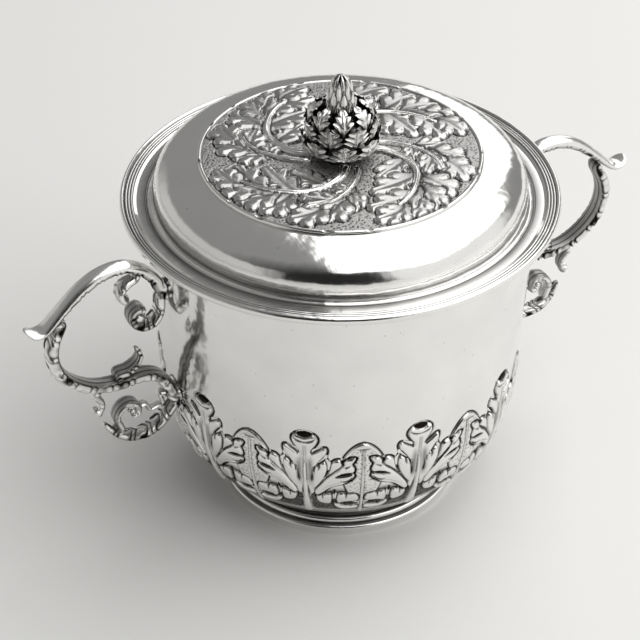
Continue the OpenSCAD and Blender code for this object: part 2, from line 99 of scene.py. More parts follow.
class CupSizes(bpy.types.PropertyGroup):
    """Turned sizes of the cup and its foot, as in the solid parts."""
    height: millimetres("Height", 122.8, "Height of the lip above the table")
    lip_radius: millimetres("Lip radius", 72, "Outer radius at the lip")
    belly_radius: millimetres("Belly radius", 67, "Outer radius where the straight wall meets the belly")
    belly_height: millimetres("Belly height", 56, "Height where the straight wall meets the belly")
    base_radius: millimetres("Base radius", 43.5, "Radius of the flat bottom")
    wall: millimetres("Wall", 1.1, "Thickness of the raised wall")
    foot_height: millimetres("Foot height", 14.2, "Height of the flat bottom above the table")
    foot_radius: millimetres("Foot radius", 45.6, "Outer radius of the foot ring")
    foot_reed: millimetres("Foot reed", 1.4, "Radius of the reed round the foot")
    foot_wall: millimetres("Foot wall", 2, "Thickness of the foot ring")


class BandSizes(bpy.types.PropertyGroup):
    """Sizes of the band of chased leaves round the belly."""
    leaves: count("Leaves", 10, 4, 24, "Number of tall leaves")
    turn: degrees("Turn", -20.5, "Angle of one tall leaf round the cup")
    low: millimetres("Lower edge", 19.6, "Height of the lower edge of the band")
    high: millimetres("Upper edge", 69.6, "Height of the upper edge of the band")
    relief: millimetres("Relief", 1.1, "Height of the leaves over the wall")
    sunk: millimetres("Sunk", 0.5, "Depth of the bed that the band lies in")
    solder: millimetres("Solder", 0.05, "Solder between the band and its bed")


class HandleSizes(bpy.types.PropertyGroup):
    """Sizes of the two cast handles, as in the solid parts."""
    drop: millimetres("Drop", 15.8, "From the lip down to the upper root")
    span: millimetres("Span", 49, "From the upper root down to the lower root")
    reach: millimetres("Reach", 58, "Length that the handle's shares are measured in, out from the wall")
    strap_width: millimetres("Strap width", 7, "Width of the scrolls")
    strap: millimetres("Strap", 3.6, "Thickness of the scrolls")
    knot: millimetres("Knot", 4.5, "Thickness of the lower scroll at its root")
    thumb_width: millimetres("Thumb width", 8, "Width of the thumb leaf")
    thumb: millimetres("Thumb", 2.2, "Thickness of the thumb leaf")
    curl: millimetres("Curl", 2.2, "Thickness of the curls and leaves")
    lead: millimetres("Lead", 2, "Straight run where a piece leaves its seat")
    root_gap: millimetres("Root gap", 0.8, "Bare wall between two roots")
    solder: millimetres("Solder", 0.15, "Solder between two pieces")


class CoverSizes(bpy.types.PropertyGroup):
    """Turned sizes of the cover, as in the solid parts."""
    seat: millimetres("Seat", 123, "Height of the underside of the flange")
    radius: millimetres("Radius", 79.9, "Outer radius of the reeded rim")
    rim_inner: millimetres("Rim inner radius", 73.8, "Inner radius of the reeded rim")
    dome_radius: millimetres("Dome radius", 68, "Radius where the dome rises from the flange")
    dome_rise: millimetres("Dome rise", 17, "Height of the dome over the flange")
    wall: millimetres("Wall", 1.1, "Thickness of the cover")
    rosette_radius: millimetres("Rosette radius", 51.3, "Radius of the chased disc")
    rosette: millimetres("Rosette", 0.75, "Height of the ground of the chased disc over the dome")
    rosette_relief: millimetres("Rosette relief", 1.3, "Height of the fronds over their ground")
    fronds: count("Fronds", 4, 2, 8, "Number of swirling fronds")
    frond_turn: degrees("Frond turn", 245, "Angle where one frond starts")


class FinialSizes(bpy.types.PropertyGroup):
    """Sizes of the bud on the cover, as in the solid parts."""
    base: millimetres("Base", 142, "Height of the underside of the calyx")
    tip: millimetres("Tip", 173.8, "Height of the tip of the cone")
    calyx: millimetres("Calyx", 5.9, "Height of the calyx")
    leaves: count("Leaves", 8, 4, 16, "Leaves in a row")


class SilverLooks(bpy.types.PropertyGroup):
    """Colours and polish of the silver."""
    silver: colour("Silver", "#f3f2f0", "Clean silver")
    # Colour of the tarnish layer, which paints both sulphide in the hollows and painted shade
    tarnish: colour("Tarnish", "#1f1b17", "Sulphide left in the hollows")
    polish: factor("Polish", 0.13, "Roughness of the hand-polished faces")
    worn: factor("Worn", 0.22, "Roughness of the cast faces")


class StageLooks(bpy.types.PropertyGroup):
    """Floor, soft light and camera."""
    floor: colour("Floor", "#efeeec", "Plain pale floor")
    wall_near: colour("Wall behind the camera", "#262626", "Dim room on the camera's side")
    wall_far: colour("Walls and ceiling", "#8c8c8b", "Grey room round the rest of the object")
    wall_left: colour("Low wall at the left", "#c4c3c1", "Light strip along the floor at the left")
    wall_right: colour("Wall at the right", "#f2f2f1", "White wall at the right")
    key: watts("Key", 32, "Power of the softbox overhead")
    rear: watts("Rear", 2.5, "Power of the softbox behind")
    azimuth: degrees("Azimuth", -27.47, "Turn of the camera about the cup")
    elevation: degrees("Elevation", 36.21, "Camera's angle above the floor")
    distance: millimetres("Distance", 892.6, "From the camera to the aim")
    aim_left: millimetres("Aim left", 7.34, "Aim to the left of the cup's middle")
    aim_height: millimetres("Aim height", 67.27, "Aim above the floor")
    lens: bpy.props.FloatProperty(
        name="Lens", description="Focal length on a 36 mm sensor", default=133.4, min=1, unit="CAMERA")


class CaudleCup(bpy.types.PropertyGroup):
    """All the settings of the cup."""
    cup: bpy.props.PointerProperty(type=CupSizes, name="Cup", description="Cup and foot")
    band: bpy.props.PointerProperty(type=BandSizes, name="Leaf band", description="Chased leaves")
    handle: bpy.props.PointerProperty(type=HandleSizes, name="Handles", description="Cast handles")
    cover: bpy.props.PointerProperty(type=CoverSizes, name="Cover", description="Cover and rosette")
    finial: bpy.props.PointerProperty(type=FinialSizes, name="Finial", description="Bud on the cover")
    looks: bpy.props.PointerProperty(type=SilverLooks, name="Silver", description="Colours and polish")
    stage: bpy.props.PointerProperty(type=StageLooks, name="Stage", description="Floor, light and camera")


def sizes(group):
    """Settings of one group as plain numbers, with its lengths in millimetres."""
    plain = SimpleNamespace()
    for key, prop in group.bl_rna.properties.items():
        if prop.type in {"FLOAT", "INT"}:
            value = getattr(group, key)
            setattr(plain, key, value * MM if prop.unit == "LENGTH" else value)
    return plain


# Lines and curves


def smooth_line(points, steps, closed=False):
    """Smooth cubic curve through points, with that many steps from each point to the next.

    Its slope at a point is half the step from the point before to the point after.
    """
    points = np.asarray(points, float)
    if closed:
        padded = np.vstack([points[-1:], points, points[:2]])
    else:
        padded = np.vstack([2 * points[0] - points[1], points, 2 * points[-1] - points[-2]])
    a, b, c, d = (padded[i:len(padded) - 3 + i, None] for i in range(4))
    k = (np.arange(steps) / steps)[None, :, None]
    line = b + k / 2 * ((c - a) + k * ((2 * a - 5 * b + 4 * c - d) + k * (3 * b - 3 * c + d - a)))
    line = line.reshape(-1, points.shape[1])
    return line if closed else np.vstack([line, points[-1:]])


def arc(centre, radius, start, end, steps=10):
    """Points of a circular arc between two angles in degrees."""
    angle = np.radians(np.linspace(start, end, steps + 1))
    return np.asarray(centre) + radius * np.stack([np.cos(angle), np.sin(angle)], -1)


def lengths_along(line):
    """Length of the way from the start of a line to each of its points."""
    return np.concatenate([[0], np.cumsum(np.linalg.norm(np.diff(line, axis=0), axis=1))])


def heading(line):
    """Direction of a line at each of its points, one unit long."""
    way = np.gradient(line, axis=0)
    return way / np.linalg.norm(way, axis=1, keepdims=True)


def left_of(way):
    """Direction square to another one, on its left."""
    return np.stack([-way[..., 1], way[..., 0]], -1)


def ease(low, high, value):
    """Smooth step from 0 at low to 1 at high: three squares less two cubes of the share of the way."""
    k = np.clip((value - low) / (high - low), 0, 1)
    return k * k * (3 - 2 * k)


def bell(value, width):
    """Smooth hump, 1 at 0 and falling off to both sides: e to the minus square of value over width."""
    return np.exp(-(value / width) ** 2)


def signed_power(value, power):
    """Power of a number's size, with the number's sign."""
    return np.sign(value) * np.abs(value) ** power


# Skins: points and the faces between them


def round_axis(radius, angle, height):
    """Points about the upright axis: (r cos a, r sin a, z)."""
    return np.stack(np.broadcast_arrays(radius * np.cos(angle), radius * np.sin(angle), height), -1)


def grid_faces(rows, columns, wrap=True):
    """Quads between the points of a grid numbered row by row, closed round its rows where it wraps."""
    row = np.arange(rows - 1)[:, None]
    column = np.arange(columns if wrap else columns - 1)[None, :]
    beside = (column + 1) % columns
    quads = [row * columns + column, row * columns + beside,
             (row + 1) * columns + beside, (row + 1) * columns + column]
    return np.stack(quads, -1).reshape(-1, 4)


def rolled(points, wrap=True):
    """Skin over a grid of points, rows x columns x 3, whose last row is joined to its first."""
    rows, columns = points.shape[:2]
    return points.reshape(-1, 3), [grid_faces(rows + 1, columns, wrap) % (rows * columns)]


def turned(profile, dark, columns=288):
    """Carries a profile of radius and height round the upright axis, with the tarnish and painted shade of
    each point.

    A profile that starts on the axis also ends there and gets one point at each end. Another one closes on
    itself.
    """
    profile, dark = np.asarray(profile, float), np.asarray(dark, float)
    points = round_axis(profile[:, :1], np.arange(columns) / columns * FULL_TURN, profile[:, 1:])
    if profile[0, 0] > 0:
        return rolled(points), np.repeat(dark, columns)
    rings = points[1:-1]
    here = np.arange(columns)
    beside = (here + 1) % columns
    start = len(rings) * columns
    last = start - columns
    faces = [grid_faces(len(rings), columns),
             np.stack([np.full(columns, start), beside, here], -1),
             np.stack([last + here, last + beside, np.full(columns, start + 1)], -1)]
    ends = [[0, 0, profile[0, 1]], [0, 0, profile[-1, 1]]]
    tarnish = np.concatenate([np.repeat(dark[1:-1], columns), dark[[0, -1]]])
    return (np.vstack([rings.reshape(-1, 3), ends]), faces), tarnish


def tube(loops):
    """Skin over a row of closed loops, rows x columns x 3, with a flat end on the first and the last."""
    rows, columns = loops.shape[:2]
    first = np.arange(columns)[None, ::-1]
    last = (rows - 1) * columns + np.arange(columns)[None, :]
    return loops.reshape(-1, 3), [grid_faces(rows, columns), first, last]


def joined(skins):
    """Several skins as one."""
    points, faces = zip(*skins)
    starts = np.cumsum([0, *map(len, points)])
    return np.vstack(points), [face + start for start, group in zip(starts, faces) for face in group]


def add_piece(name, body, slot, finish, skin, nodes=(), crease=40, **layers):
    """Makes one piece from a skin in millimetres, with its finish, its body and the solids it stands for.

    Edges sharper than the crease, in degrees, stay sharp. Each layer is one number per point that the finish
    reads: tarnish darkens a hollow and painted shade darkens where shade falls, matting punches a ground.
    """
    points, faces = skin
    mesh = bpy.data.meshes.new(name)
    mesh.vertices.add(len(points))
    mesh.vertices.foreach_set("co", np.ravel(points / MM).astype(np.float32))
    counts = np.concatenate([np.full(len(face), face.shape[1]) for face in faces])
    corners = np.concatenate([face.ravel() for face in faces])
    mesh.loops.add(len(corners))
    mesh.loops.foreach_set("vertex_index", corners.astype(np.int32))
    mesh.polygons.add(len(counts))
    mesh.polygons.foreach_set("loop_start", (np.cumsum(counts) - counts).astype(np.int32))
    mesh.update(calc_edges=True)
    for layer, values in layers.items():
        attribute = mesh.attributes.new(layer, "FLOAT", "POINT")
        attribute.data.foreach_set("value", np.ravel(values).astype(np.float32))
    mesh.polygons.foreach_set("use_smooth", np.ones(len(counts), bool))
    mesh.set_sharp_from_angle(angle=np.radians(crease))
    mesh.materials.append(finish)
    piece = bpy.data.objects.new(name, mesh)
    bpy.context.scene.collection.objects.link(piece)
    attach(piece, body)
    if nodes:
        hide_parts(*nodes)


# Finishes


def add_node(tree, kind, output, sockets, **settings):
    """Adds a node, sets its settings, fills its sockets with links or plain values and gives one output."""
    node = tree.nodes.new("ShaderNode" + kind)
    for key, value in settings.items():
        setattr(node, key, value)
    for key, value in sockets.items():
        if isinstance(value, bpy.types.NodeSocket):
            tree.links.new(value, node.inputs[key])
        else:
            node.inputs[key].default_value = value
    return node.outputs[output]


def silver(name, looks, roughness, grain, punch):
    """Silver that is dark where the tarnish and painted shade layer is, and punched all over where the
    matting layer is.

    Hammer waves are broad noise, rub marks are long stretched noise, and the cast grain is fine noise.
    Pin pits are small spots of scattered cells, and the punched ground is a field of smaller cells with dark
    middles.
    """
    found = bpy.data.materials.get(name)
    if found:
        return found
    material = bpy.data.materials.new(name)
    material.use_nodes = True
    tree = material.node_tree
    shader = tree.nodes["Principled BSDF"]
    place = add_node(tree, "TexCoord", "Object", {})

    # Rub marks 0.6 mm wide and 15 mm long, drawn some ten times coarser than real hairlines so that they show
    rub_width_mm, rub_length_mm = 0.625, 15.384615
    along_rubs = MM / rub_length_mm
    slanted = add_node(tree, "Mapping", "Vector", {
        "Vector": place, "Rotation": (0.5, 0.9, 0.3), "Scale": (MM / rub_width_mm, along_rubs, along_rubs)})
    rubs = add_node(tree, "TexNoise", "Fac", {"Vector": slanted, "Scale": 1, "Detail": 2})
    # Waves of about 20 mm left by the raising hammer, and patches of wear of that size
    wave_mm = 20
    waves = add_node(tree, "TexNoise", "Fac", {"Vector": place, "Scale": MM / wave_mm, "Detail": 3})
    # Grain left by the mould
    grain_mm = 0.5
    fine = add_node(tree, "TexNoise", "Fac", {"Vector": place, "Scale": MM / grain_mm, "Detail": 2})
    # Punch marks, set about twice as far apart as the real ones so that they show
    punch_mm = 1
    cells = add_node(tree, "TexVoronoi", "Distance", {"Vector": place, "Scale": MM / punch_mm})
    # Pin pits about 0.5 mm across, one in each 5 mm of metal
    pin_mm = 5
    pins = add_node(tree, "TexVoronoi", "Distance", {"Vector": place, "Scale": MM / pin_mm})

    # The tarnish layer holds real tarnish in the hollows and also painted shade and dark reflections
    dark = add_node(tree, "Attribute", "Fac", {}, attribute_name="tarnish")
    mat = add_node(tree, "Attribute", "Fac", {}, attribute_name="matting")

    # Colour: worn patches are a trace darker, and pits and punch marks have dark middles
    patchy = add_node(tree, "MapRange", "Result", {
        "Value": waves, "From Min": 0.35, "From Max": 0.75, "To Min": 0.0, "To Max": 0.08})
    pitted = add_node(tree, "MapRange", "Result", {
        "Value": pins, "From Min": 0.03, "From Max": 0.06, "To Min": 0.6, "To Max": 0.0})
    dots = add_node(tree, "MapRange", "Result", {
        "Value": cells, "From Min": 0.15, "From Max": 0.45, "To Min": 0.55, "To Max": 0.0})
    stain = add_node(tree, "Math", "Value", {0: patchy, 1: pitted}, operation="ADD")
    stain = add_node(tree, "Math", "Value", {0: dots, 1: mat, 2: stain}, operation="MULTIPLY_ADD")
    # The mix towards the tarnish colour takes the layer's tarnish and painted shade together with the stains
    hollow = add_node(tree, "Math", "Value", {0: dark, 1: stain}, operation="ADD", use_clamp=True)
    tint = add_node(tree, "Mix", "Result", {"Factor": hollow, "A": looks.silver, "B": looks.tarnish},
                    data_type="RGBA")
    tree.links.new(tint, shader.inputs["Base Color"])

    # Roughness: it changes a little from patch to patch, and tarnish and punch marks dull the shine
    rough = add_node(tree, "MapRange", "Result", {
        "Value": waves, "From Min": 0.3, "From Max": 0.7,
        "To Min": roughness * 0.8, "To Max": roughness * 1.25})
    dulled = add_node(tree, "Math", "Value", {0: dark, 1: 0.3, 2: rough}, operation="MULTIPLY_ADD")
    frosted = add_node(tree, "Math", "Value", {0: mat, 1: 0.2, 2: dulled}, operation="MULTIPLY_ADD")
    tree.links.new(frosted, shader.inputs["Roughness"])

    # Bumps: the waves are 0.7 mm deep, more than real ones, so that they bend the mirrored room as those do
    raised = add_node(tree, "Bump", "Normal", {"Height": waves, "Distance": 0.7 / MM})
    lines = add_node(tree, "Bump", "Normal", {
        "Height": rubs, "Strength": 0.12, "Distance": 0.1 / MM, "Normal": raised})
    pits = add_node(tree, "Bump", "Normal", {
        "Height": fine, "Strength": grain, "Distance": 0.1 / MM, "Normal": lines})
    deep = add_node(tree, "Math", "Value", {0: mat, 1: punch}, operation="MULTIPLY")
    punched = add_node(tree, "Bump", "Normal", {
        "Height": cells, "Strength": deep, "Distance": 0.2 / MM, "Normal": pits})
    tree.links.new(punched, shader.inputs["Normal"])
    shader.inputs["Metallic"].default_value = 1.0
    return material


def polished_silver(looks):
    """Hand-polished silver: mirror-like, softened by fine rub marks and hammer waves."""
    return silver("hand_polished_sterling", looks, looks.polish, grain=0.03, punch=0.0)


def chased_silver(looks):
    """Chased silver: bright tops as polished as the wall, dark lines, and a dull punched ground."""
    return silver("chased_sterling", looks, looks.polish, grain=0.03, punch=0.8)


def cast_silver(looks):
    """Cast and chased silver: a softer shine with a slight grain left from the mould."""
    return silver("cast_sterling", looks, looks.worn, grain=0.15, punch=0.0)


# Cup and foot


def cup_radius(cup, height):
    """Outer radius of the cup: a straight flaring wall over a quarter ellipse."""
    rise = (height - cup.belly_height) / (cup.height - cup.belly_height)
    fall = np.clip((cup.belly_height - height) / (cup.belly_height - cup.foot_height), 0, 1)
    wall = cup.belly_radius + (cup.lip_radius - cup.belly_radius) * rise
    belly = cup.base_radius + (cup.belly_radius - cup.base_radius) * np.sqrt(1 - fall ** 2)
    return np.where(height >= cup.belly_height, wall, belly)


def wall_out(cup, height):
    """Direction square to the wall, as radius and height."""
    step = 0.01
    slope = (cup_radius(cup, height + step) - cup_radius(cup, height - step)) / (2 * step)
    out = np.stack([np.ones_like(slope), -slope], -1)
    return out / np.linalg.norm(out, axis=-1, keepdims=True)


def painted_belly_reflection(band, height):
    """Painted dark reflection on the bare belly under the leaves, fading upwards."""
    return 0.55 * ease(band.low + 5.5, band.low + 2, height)


def cup_profile(cup, band):
    """Outline of the cup's wall from the middle of its bottom over the lip to the middle of its floor.

    With it goes how dark each point is: a painted dark reflection lies on the belly under the leaves.
    """
    turn = np.radians(np.linspace(0, 90, 60))
    depth = cup.belly_height - cup.foot_height
    step = 0.004
    heights = np.unique(np.concatenate([
        cup.belly_height - depth * np.cos(turn),
        np.linspace(cup.belly_height, cup.height - cup.wall / 2, 24),
        [band.low - step, band.low + step, band.high - step, band.high + step]]))
    bed = np.where((heights > band.low) & (heights < band.high), band.sunk, 0)
    outer = np.stack([cup_radius(cup, heights), heights], -1)
    outer[1:] -= bed[1:, None] * wall_out(cup, heights[1:])
    lip = arc((cup.lip_radius - cup.wall / 2, cup.height - cup.wall / 2), cup.wall / 2, 0, 180, 8)
    inner = np.stack([cup.base_radius + (cup.belly_radius - cup.wall - cup.base_radius) * np.sin(turn),
                      cup.belly_height - (depth - cup.wall) * np.cos(turn)], -1)
    bottom, floor = [[0, cup.foot_height]], [[0, cup.foot_height + cup.wall]]
    outline = np.vstack([bottom, outer, lip, inner[::-1], floor])
    dark = np.zeros(len(outline))
    dark[1:len(outer) + 1] = painted_belly_reflection(band, heights)
    return outline, dark


def foot_profile(cup):
    """Outline of the foot ring: a cove under the cup, a reed and a rounded base.

    With it goes how dark each point is: tarnish and painted shade lie in the cove and under the reed.
    """
    reed, top = cup.foot_reed, cup.foot_height
    neck = cup.foot_radius - 2 * reed
    base = 3 * reed
    cove_depth, toe = 0.5, 0.3
    cove = arc((neck, (top + base + 2 * reed) / 2), (top - base - 2 * reed) / 2, 90, 270, 20)
    cove[:, 0] = neck + (cove[:, 0] - neck) * cove_depth
    lower = arc((cup.foot_radius - reed, base - reed), reed, -20, 90, 10)
    upper = arc((neck, base + reed), reed, -90, 90, 12)
    outline = np.vstack([[[neck - cup.foot_wall, 0], [cup.foot_radius - toe, 0]], lower, upper, cove[::-1],
                         [[neck - cup.foot_wall - reed, top]]])
    height = outline[:, 1]
    # Tarnish and painted shade in the cove and under the reed
    in_cove = 0.85 * ease(base + 1.6 * reed, base + 2.3 * reed, height)
    under_reed = 0.7 * ease(0.3, 0.05, np.abs(height - base) / reed)
    return outline, np.maximum(in_cove, under_reed)


# Chased relief


def segment_gaps(starts, ends, x, y):
    """Distance from each point to each straight segment, and the share of the segment where it is nearest."""
    x, y = x.ravel()[:, None], y.ravel()[:, None]
    (ax, ay), (bx, by) = starts.T, ends.T
    run = np.maximum((bx - ax) ** 2 + (by - ay) ** 2, 1e-12)
    k = np.clip(((x - ax) * (bx - ax) + (y - ay) * (by - ay)) / run, 0, 1)
    return np.hypot(x - ax - k * (bx - ax), y - ay - k * (by - ay)), k


def outline_edge(outline, x, z):
    """Distance in from a closed outline, negative outside it: nearest side, with its sign from crossings."""
    following = np.roll(outline, -1, 0)
    far = segment_gaps(outline, following, x, z)[0].min(1)
    (ax, az), (bx, bz) = outline.T, following.T
    level = z.ravel()[:, None]
    rise = np.where(bz == az, 1e-12, bz - az)
    crossed = ((az > level) != (bz > level)) & (x.ravel()[:, None] < (bx - ax) * (level - az) / rise + ax)
    return np.where(crossed.sum(1) % 2 == 1, far, -far).reshape(x.shape)


def finger_edge(line, radii, x, y):
    """Distance in from a finger, a line with changing half widths, and the nearest share of its run."""
    line, radii = np.asarray(line, float), np.asarray(radii, float)
    far, k = segment_gaps(line[:-1], line[1:], x, y)
    edge = radii[:-1] + k * (radii[1:] - radii[:-1]) - far
    best = edge.argmax(1)
    here = np.arange(len(edge))
    along = (best + k[here, best]) / (len(line) - 1)
    return edge[here, best].reshape(x.shape), along.reshape(x.shape)


def pillow(edge, base, swell, rounding=2.2):
    """Height of a swelling lobe: a base, and a quarter round that rises from its edge."""
    return base + swell * np.sqrt(1 - (1 - np.clip(edge / rounding, 0, 1)) ** 2)


class Relief:
    """Heights, tarnish and painted shade, and matting of a chased field, on which shapes are laid one over
    another.

    Heights and depths are shares of the full relief; edges and widths are in millimetres.
    """

    def __init__(self, shape):
        self.height = np.zeros(shape)
        self.tarnish = np.zeros(shape)
        self.matting = np.zeros(shape)

    def lay(self, edge, height, line=1.0, line_width=0.6, matting=0.0):
        """Lays a shape: inside its edge it takes the new height, and round it runs a dark sunk line."""
        line_depth = 0.4
        inside = ease(0, 0.3, edge)
        rim = ease(-line_width - 0.2, -line_width + 0.15, edge) * ease(0.25, -0.05, edge) * line
        self.height = self.height * (1 - inside) + height * inside - line_depth * rim * (1 - inside)
        self.tarnish = np.maximum(self.tarnish * (1 - inside), rim)
        self.matting = self.matting * (1 - inside) + matting * inside

    def cut(self, edge, depth, dark=1.0, soft=0.35):
        """Cuts a hollow, dark at its bottom with tarnish and painted shade."""
        inside = ease(-soft / 2, soft, edge)
        self.height = self.height - depth * inside
        self.tarnish = np.maximum(self.tarnish, dark * inside)


# Leaf band: half a tall leaf and half a round one, drawn flat with the tall leaf's rib at 0 and true heights

LEAF_HALF = 20.0
TALL_TIP = [
    (0, 67.0), (1.6, 66.7), (3.0, 65.9), (4.2, 64.5), (4.5, 62.9), (4.1, 61.4), (3.2, 59.8), (2.3, 58.4),
    (1.7, 56.5), (1.3, 54)]
TALL_LOBES = [
    [(1.2, 51), (1.8, 55), (2.7, 57.0), (4.2, 58.2), (5.6, 59.3), (7.0, 59.9), (7.6, 58.7), (7.5, 57.0),
     (6.8, 55.3), (5.6, 53.6), (4.4, 52.0), (2.6, 50.2)],
    [(2.2, 42), (2.9, 47), (3.5, 50.6), (4.6, 52.0), (5.8, 53.0), (7.0, 53.2), (7.7, 51.6), (7.7, 49.4),
     (7.0, 46.5), (5.8, 43.6), (4.2, 40.6), (2.6, 39.4)],
    [(2.6, 38.6), (4.6, 41.9), (6.6, 45), (8.1, 48), (8.7, 50.5), (9.2, 52.8), (10.4, 54.1), (12.0, 54.3),
     (13.0, 53.2), (12.8, 51.8), (11.6, 50.2), (9.6, 48.3), (7.4, 45.6), (5.2, 42.4), (3.4, 38.8)],
    [(3.0, 37.4), (5.2, 41.8), (7.5, 45.1), (9.8, 47.9), (11.8, 49.9), (13.0, 52.0), (13.6, 53.6),
     (14.6, 54.9), (16.0, 55.5), (17.5, 55.3), (17.0, 53.6), (16.3, 52.3), (16.9, 50.8), (17.1, 49.4),
     (16.7, 48), (17.1, 46.6), (16.4, 45), (15.0, 43.7), (13.4, 42.5), (11.4, 41.5), (9.4, 40.7),
     (7.4, 38.9), (5.6, 36.8), (4.0, 35.8)]]
TALL_STEM = ([(0, 60), (0, 50), (0, 38)], [2.2, 3.0, 3.2])
TIP_HOLLOW = [(0, 67.5), (1.6, 67.0), (2.9, 66.1), (2.3, 65.3), (1.1, 64.7), (0, 64.5)]
TIP_LIP = ([(0, 63.7), (2.0, 64.2), (3.7, 65.4)], [0.7, 0.65, 0.35])
ROUND_LEAF = [
    (20, 62.0), (18.2, 61.4), (16.2, 59.7), (14.5, 57.4), (13.3, 55.1), (12.5, 53.0), (12.2, 48.5),
    (13.2, 43), (14.4, 38.5), (16.4, 33.5), (17.8, 29), (19, 25.4), (20, 24.2)]
BASE_LEAVES = [
    [(9.8, 29.7), (11.4, 29.9), (12.9, 28.7), (15, 28.3), (18.3, 28.7), (19, 27.2), (16.6, 26.2),
     (13.4, 26.3), (11.2, 27.3)],
    [(10.9, 31.8), (10.9, 34.6), (11.7, 36.8), (13.4, 37.0), (14.3, 36.0), (15.6, 36.8), (17.8, 36.4),
     (18.8, 34.6), (18.7, 32.6), (16.8, 31.9), (13.8, 31.7), (12.2, 31.0)],
    [(3.6, 33.2), (3.8, 35.2), (5.0, 36.5), (6.6, 36.1), (8.4, 36.8), (9.2, 35.2), (9.2, 32.6), (8.7, 30.6),
     (6.6, 30.4), (4.6, 31.2)]]

# Strokes of the chasing tool, dark with tarnish and painted shade: points, half widths at them, depth and
# darkness
LEAF_STROKES = [
    # Painted shade under the lip of the curled tip
    ([(0, 62.6), (1.6, 62.8), (2.8, 63.3), (3.8, 64.3)], [0.25, 0.38, 0.38, 0.15], 0.45, 1.0),
    # Painted shade between the lobes of the tall leaf and on them
    ([(5.6, 59.6), (4.2, 58.6), (2.5, 57.2)], [0.55, 0.75, 0.55], 0.45, 1.0),
    ([(4.1, 51.9), (5.6, 53.8), (6.9, 56.0)], [0.2, 0.65, 0.5], 0.45, 1.0),
    ([(7.3, 55.4), (7.9, 53.6), (8.3, 51.6), (8.2, 49.2)], [0.6, 0.7, 0.55, 0.25], 0.45, 1.0),
    ([(4.9, 52.2), (5.0, 50.8), (4.6, 49.6)], [0.5, 0.45, 0.2], 0.45, 1.0),
    ([(2.3, 51), (2.5, 47), (2.3, 44.4), (2.1, 43)], [0.2, 0.45, 0.6, 0.25], 0.45, 1.0),
    ([(3.4, 39.6), (5.8, 43.6), (8.6, 47.4), (11.4, 50.6)], [0.3, 0.25, 0.22, 0.1], 0.3, 1.0),
    ([(12.6, 53.4), (13.3, 52.2), (12.9, 51.0)], [0.5, 0.5, 0.2], 0.45, 1.0),
    ([(10.6, 46.4), (13, 47.3), (15, 47.8), (16.6, 48)], [0.3, 0.95, 0.95, 0.4], 0.6, 1.0),
    ([(12.3, 44.2), (13.8, 43.8), (15.4, 44.6), (16.4, 46.2)], [0.2, 0.55, 0.5, 0.25], 0.5, 1.0),
    ([(13.7, 54.6), (14.8, 55.2), (16.2, 54.9)], [0.25, 0.55, 0.25], 0.5, 1.0),
    ([(14.0, 51.0), (15.5, 51.8)], [0.4, 0.25], 0.4, 1.0),
    ([(6, 40.2), (10, 42.8), (13, 44)], [0.1, 0.22, 0.1], 0.25, 0.5),
    # Painted shade on the small leaves at the base and between them
    ([(5.9, 36.2), (5.9, 34)], [0.45, 0.2], 0.4, 1.0),
    ([(14.4, 36.4), (14.3, 34.4)], [0.45, 0.2], 0.4, 1.0),
    ([(13.0, 30.1), (15.8, 30.2), (18.4, 30.2)], [0.5, 0.95, 0.6], 0.4, 1.0),
    ([(10.2, 38.4), (10.3, 35), (10.0, 32)], [0.5, 0.65, 0.4], 0.4, 1.0),
    # Painted shade under the curled lip of the round leaf
    ([(17.6, 59.3), (20, 59.1)], [0.1, 0.3], 0.4, 1.0)]


def mirrored(half, middle):
    """Whole outline from one half of it, mirrored about an upright line."""
    half = np.asarray(half, float)
    other = half[::-1] * (-1, 1) + (2 * middle, 0)
    return np.vstack([half, other])


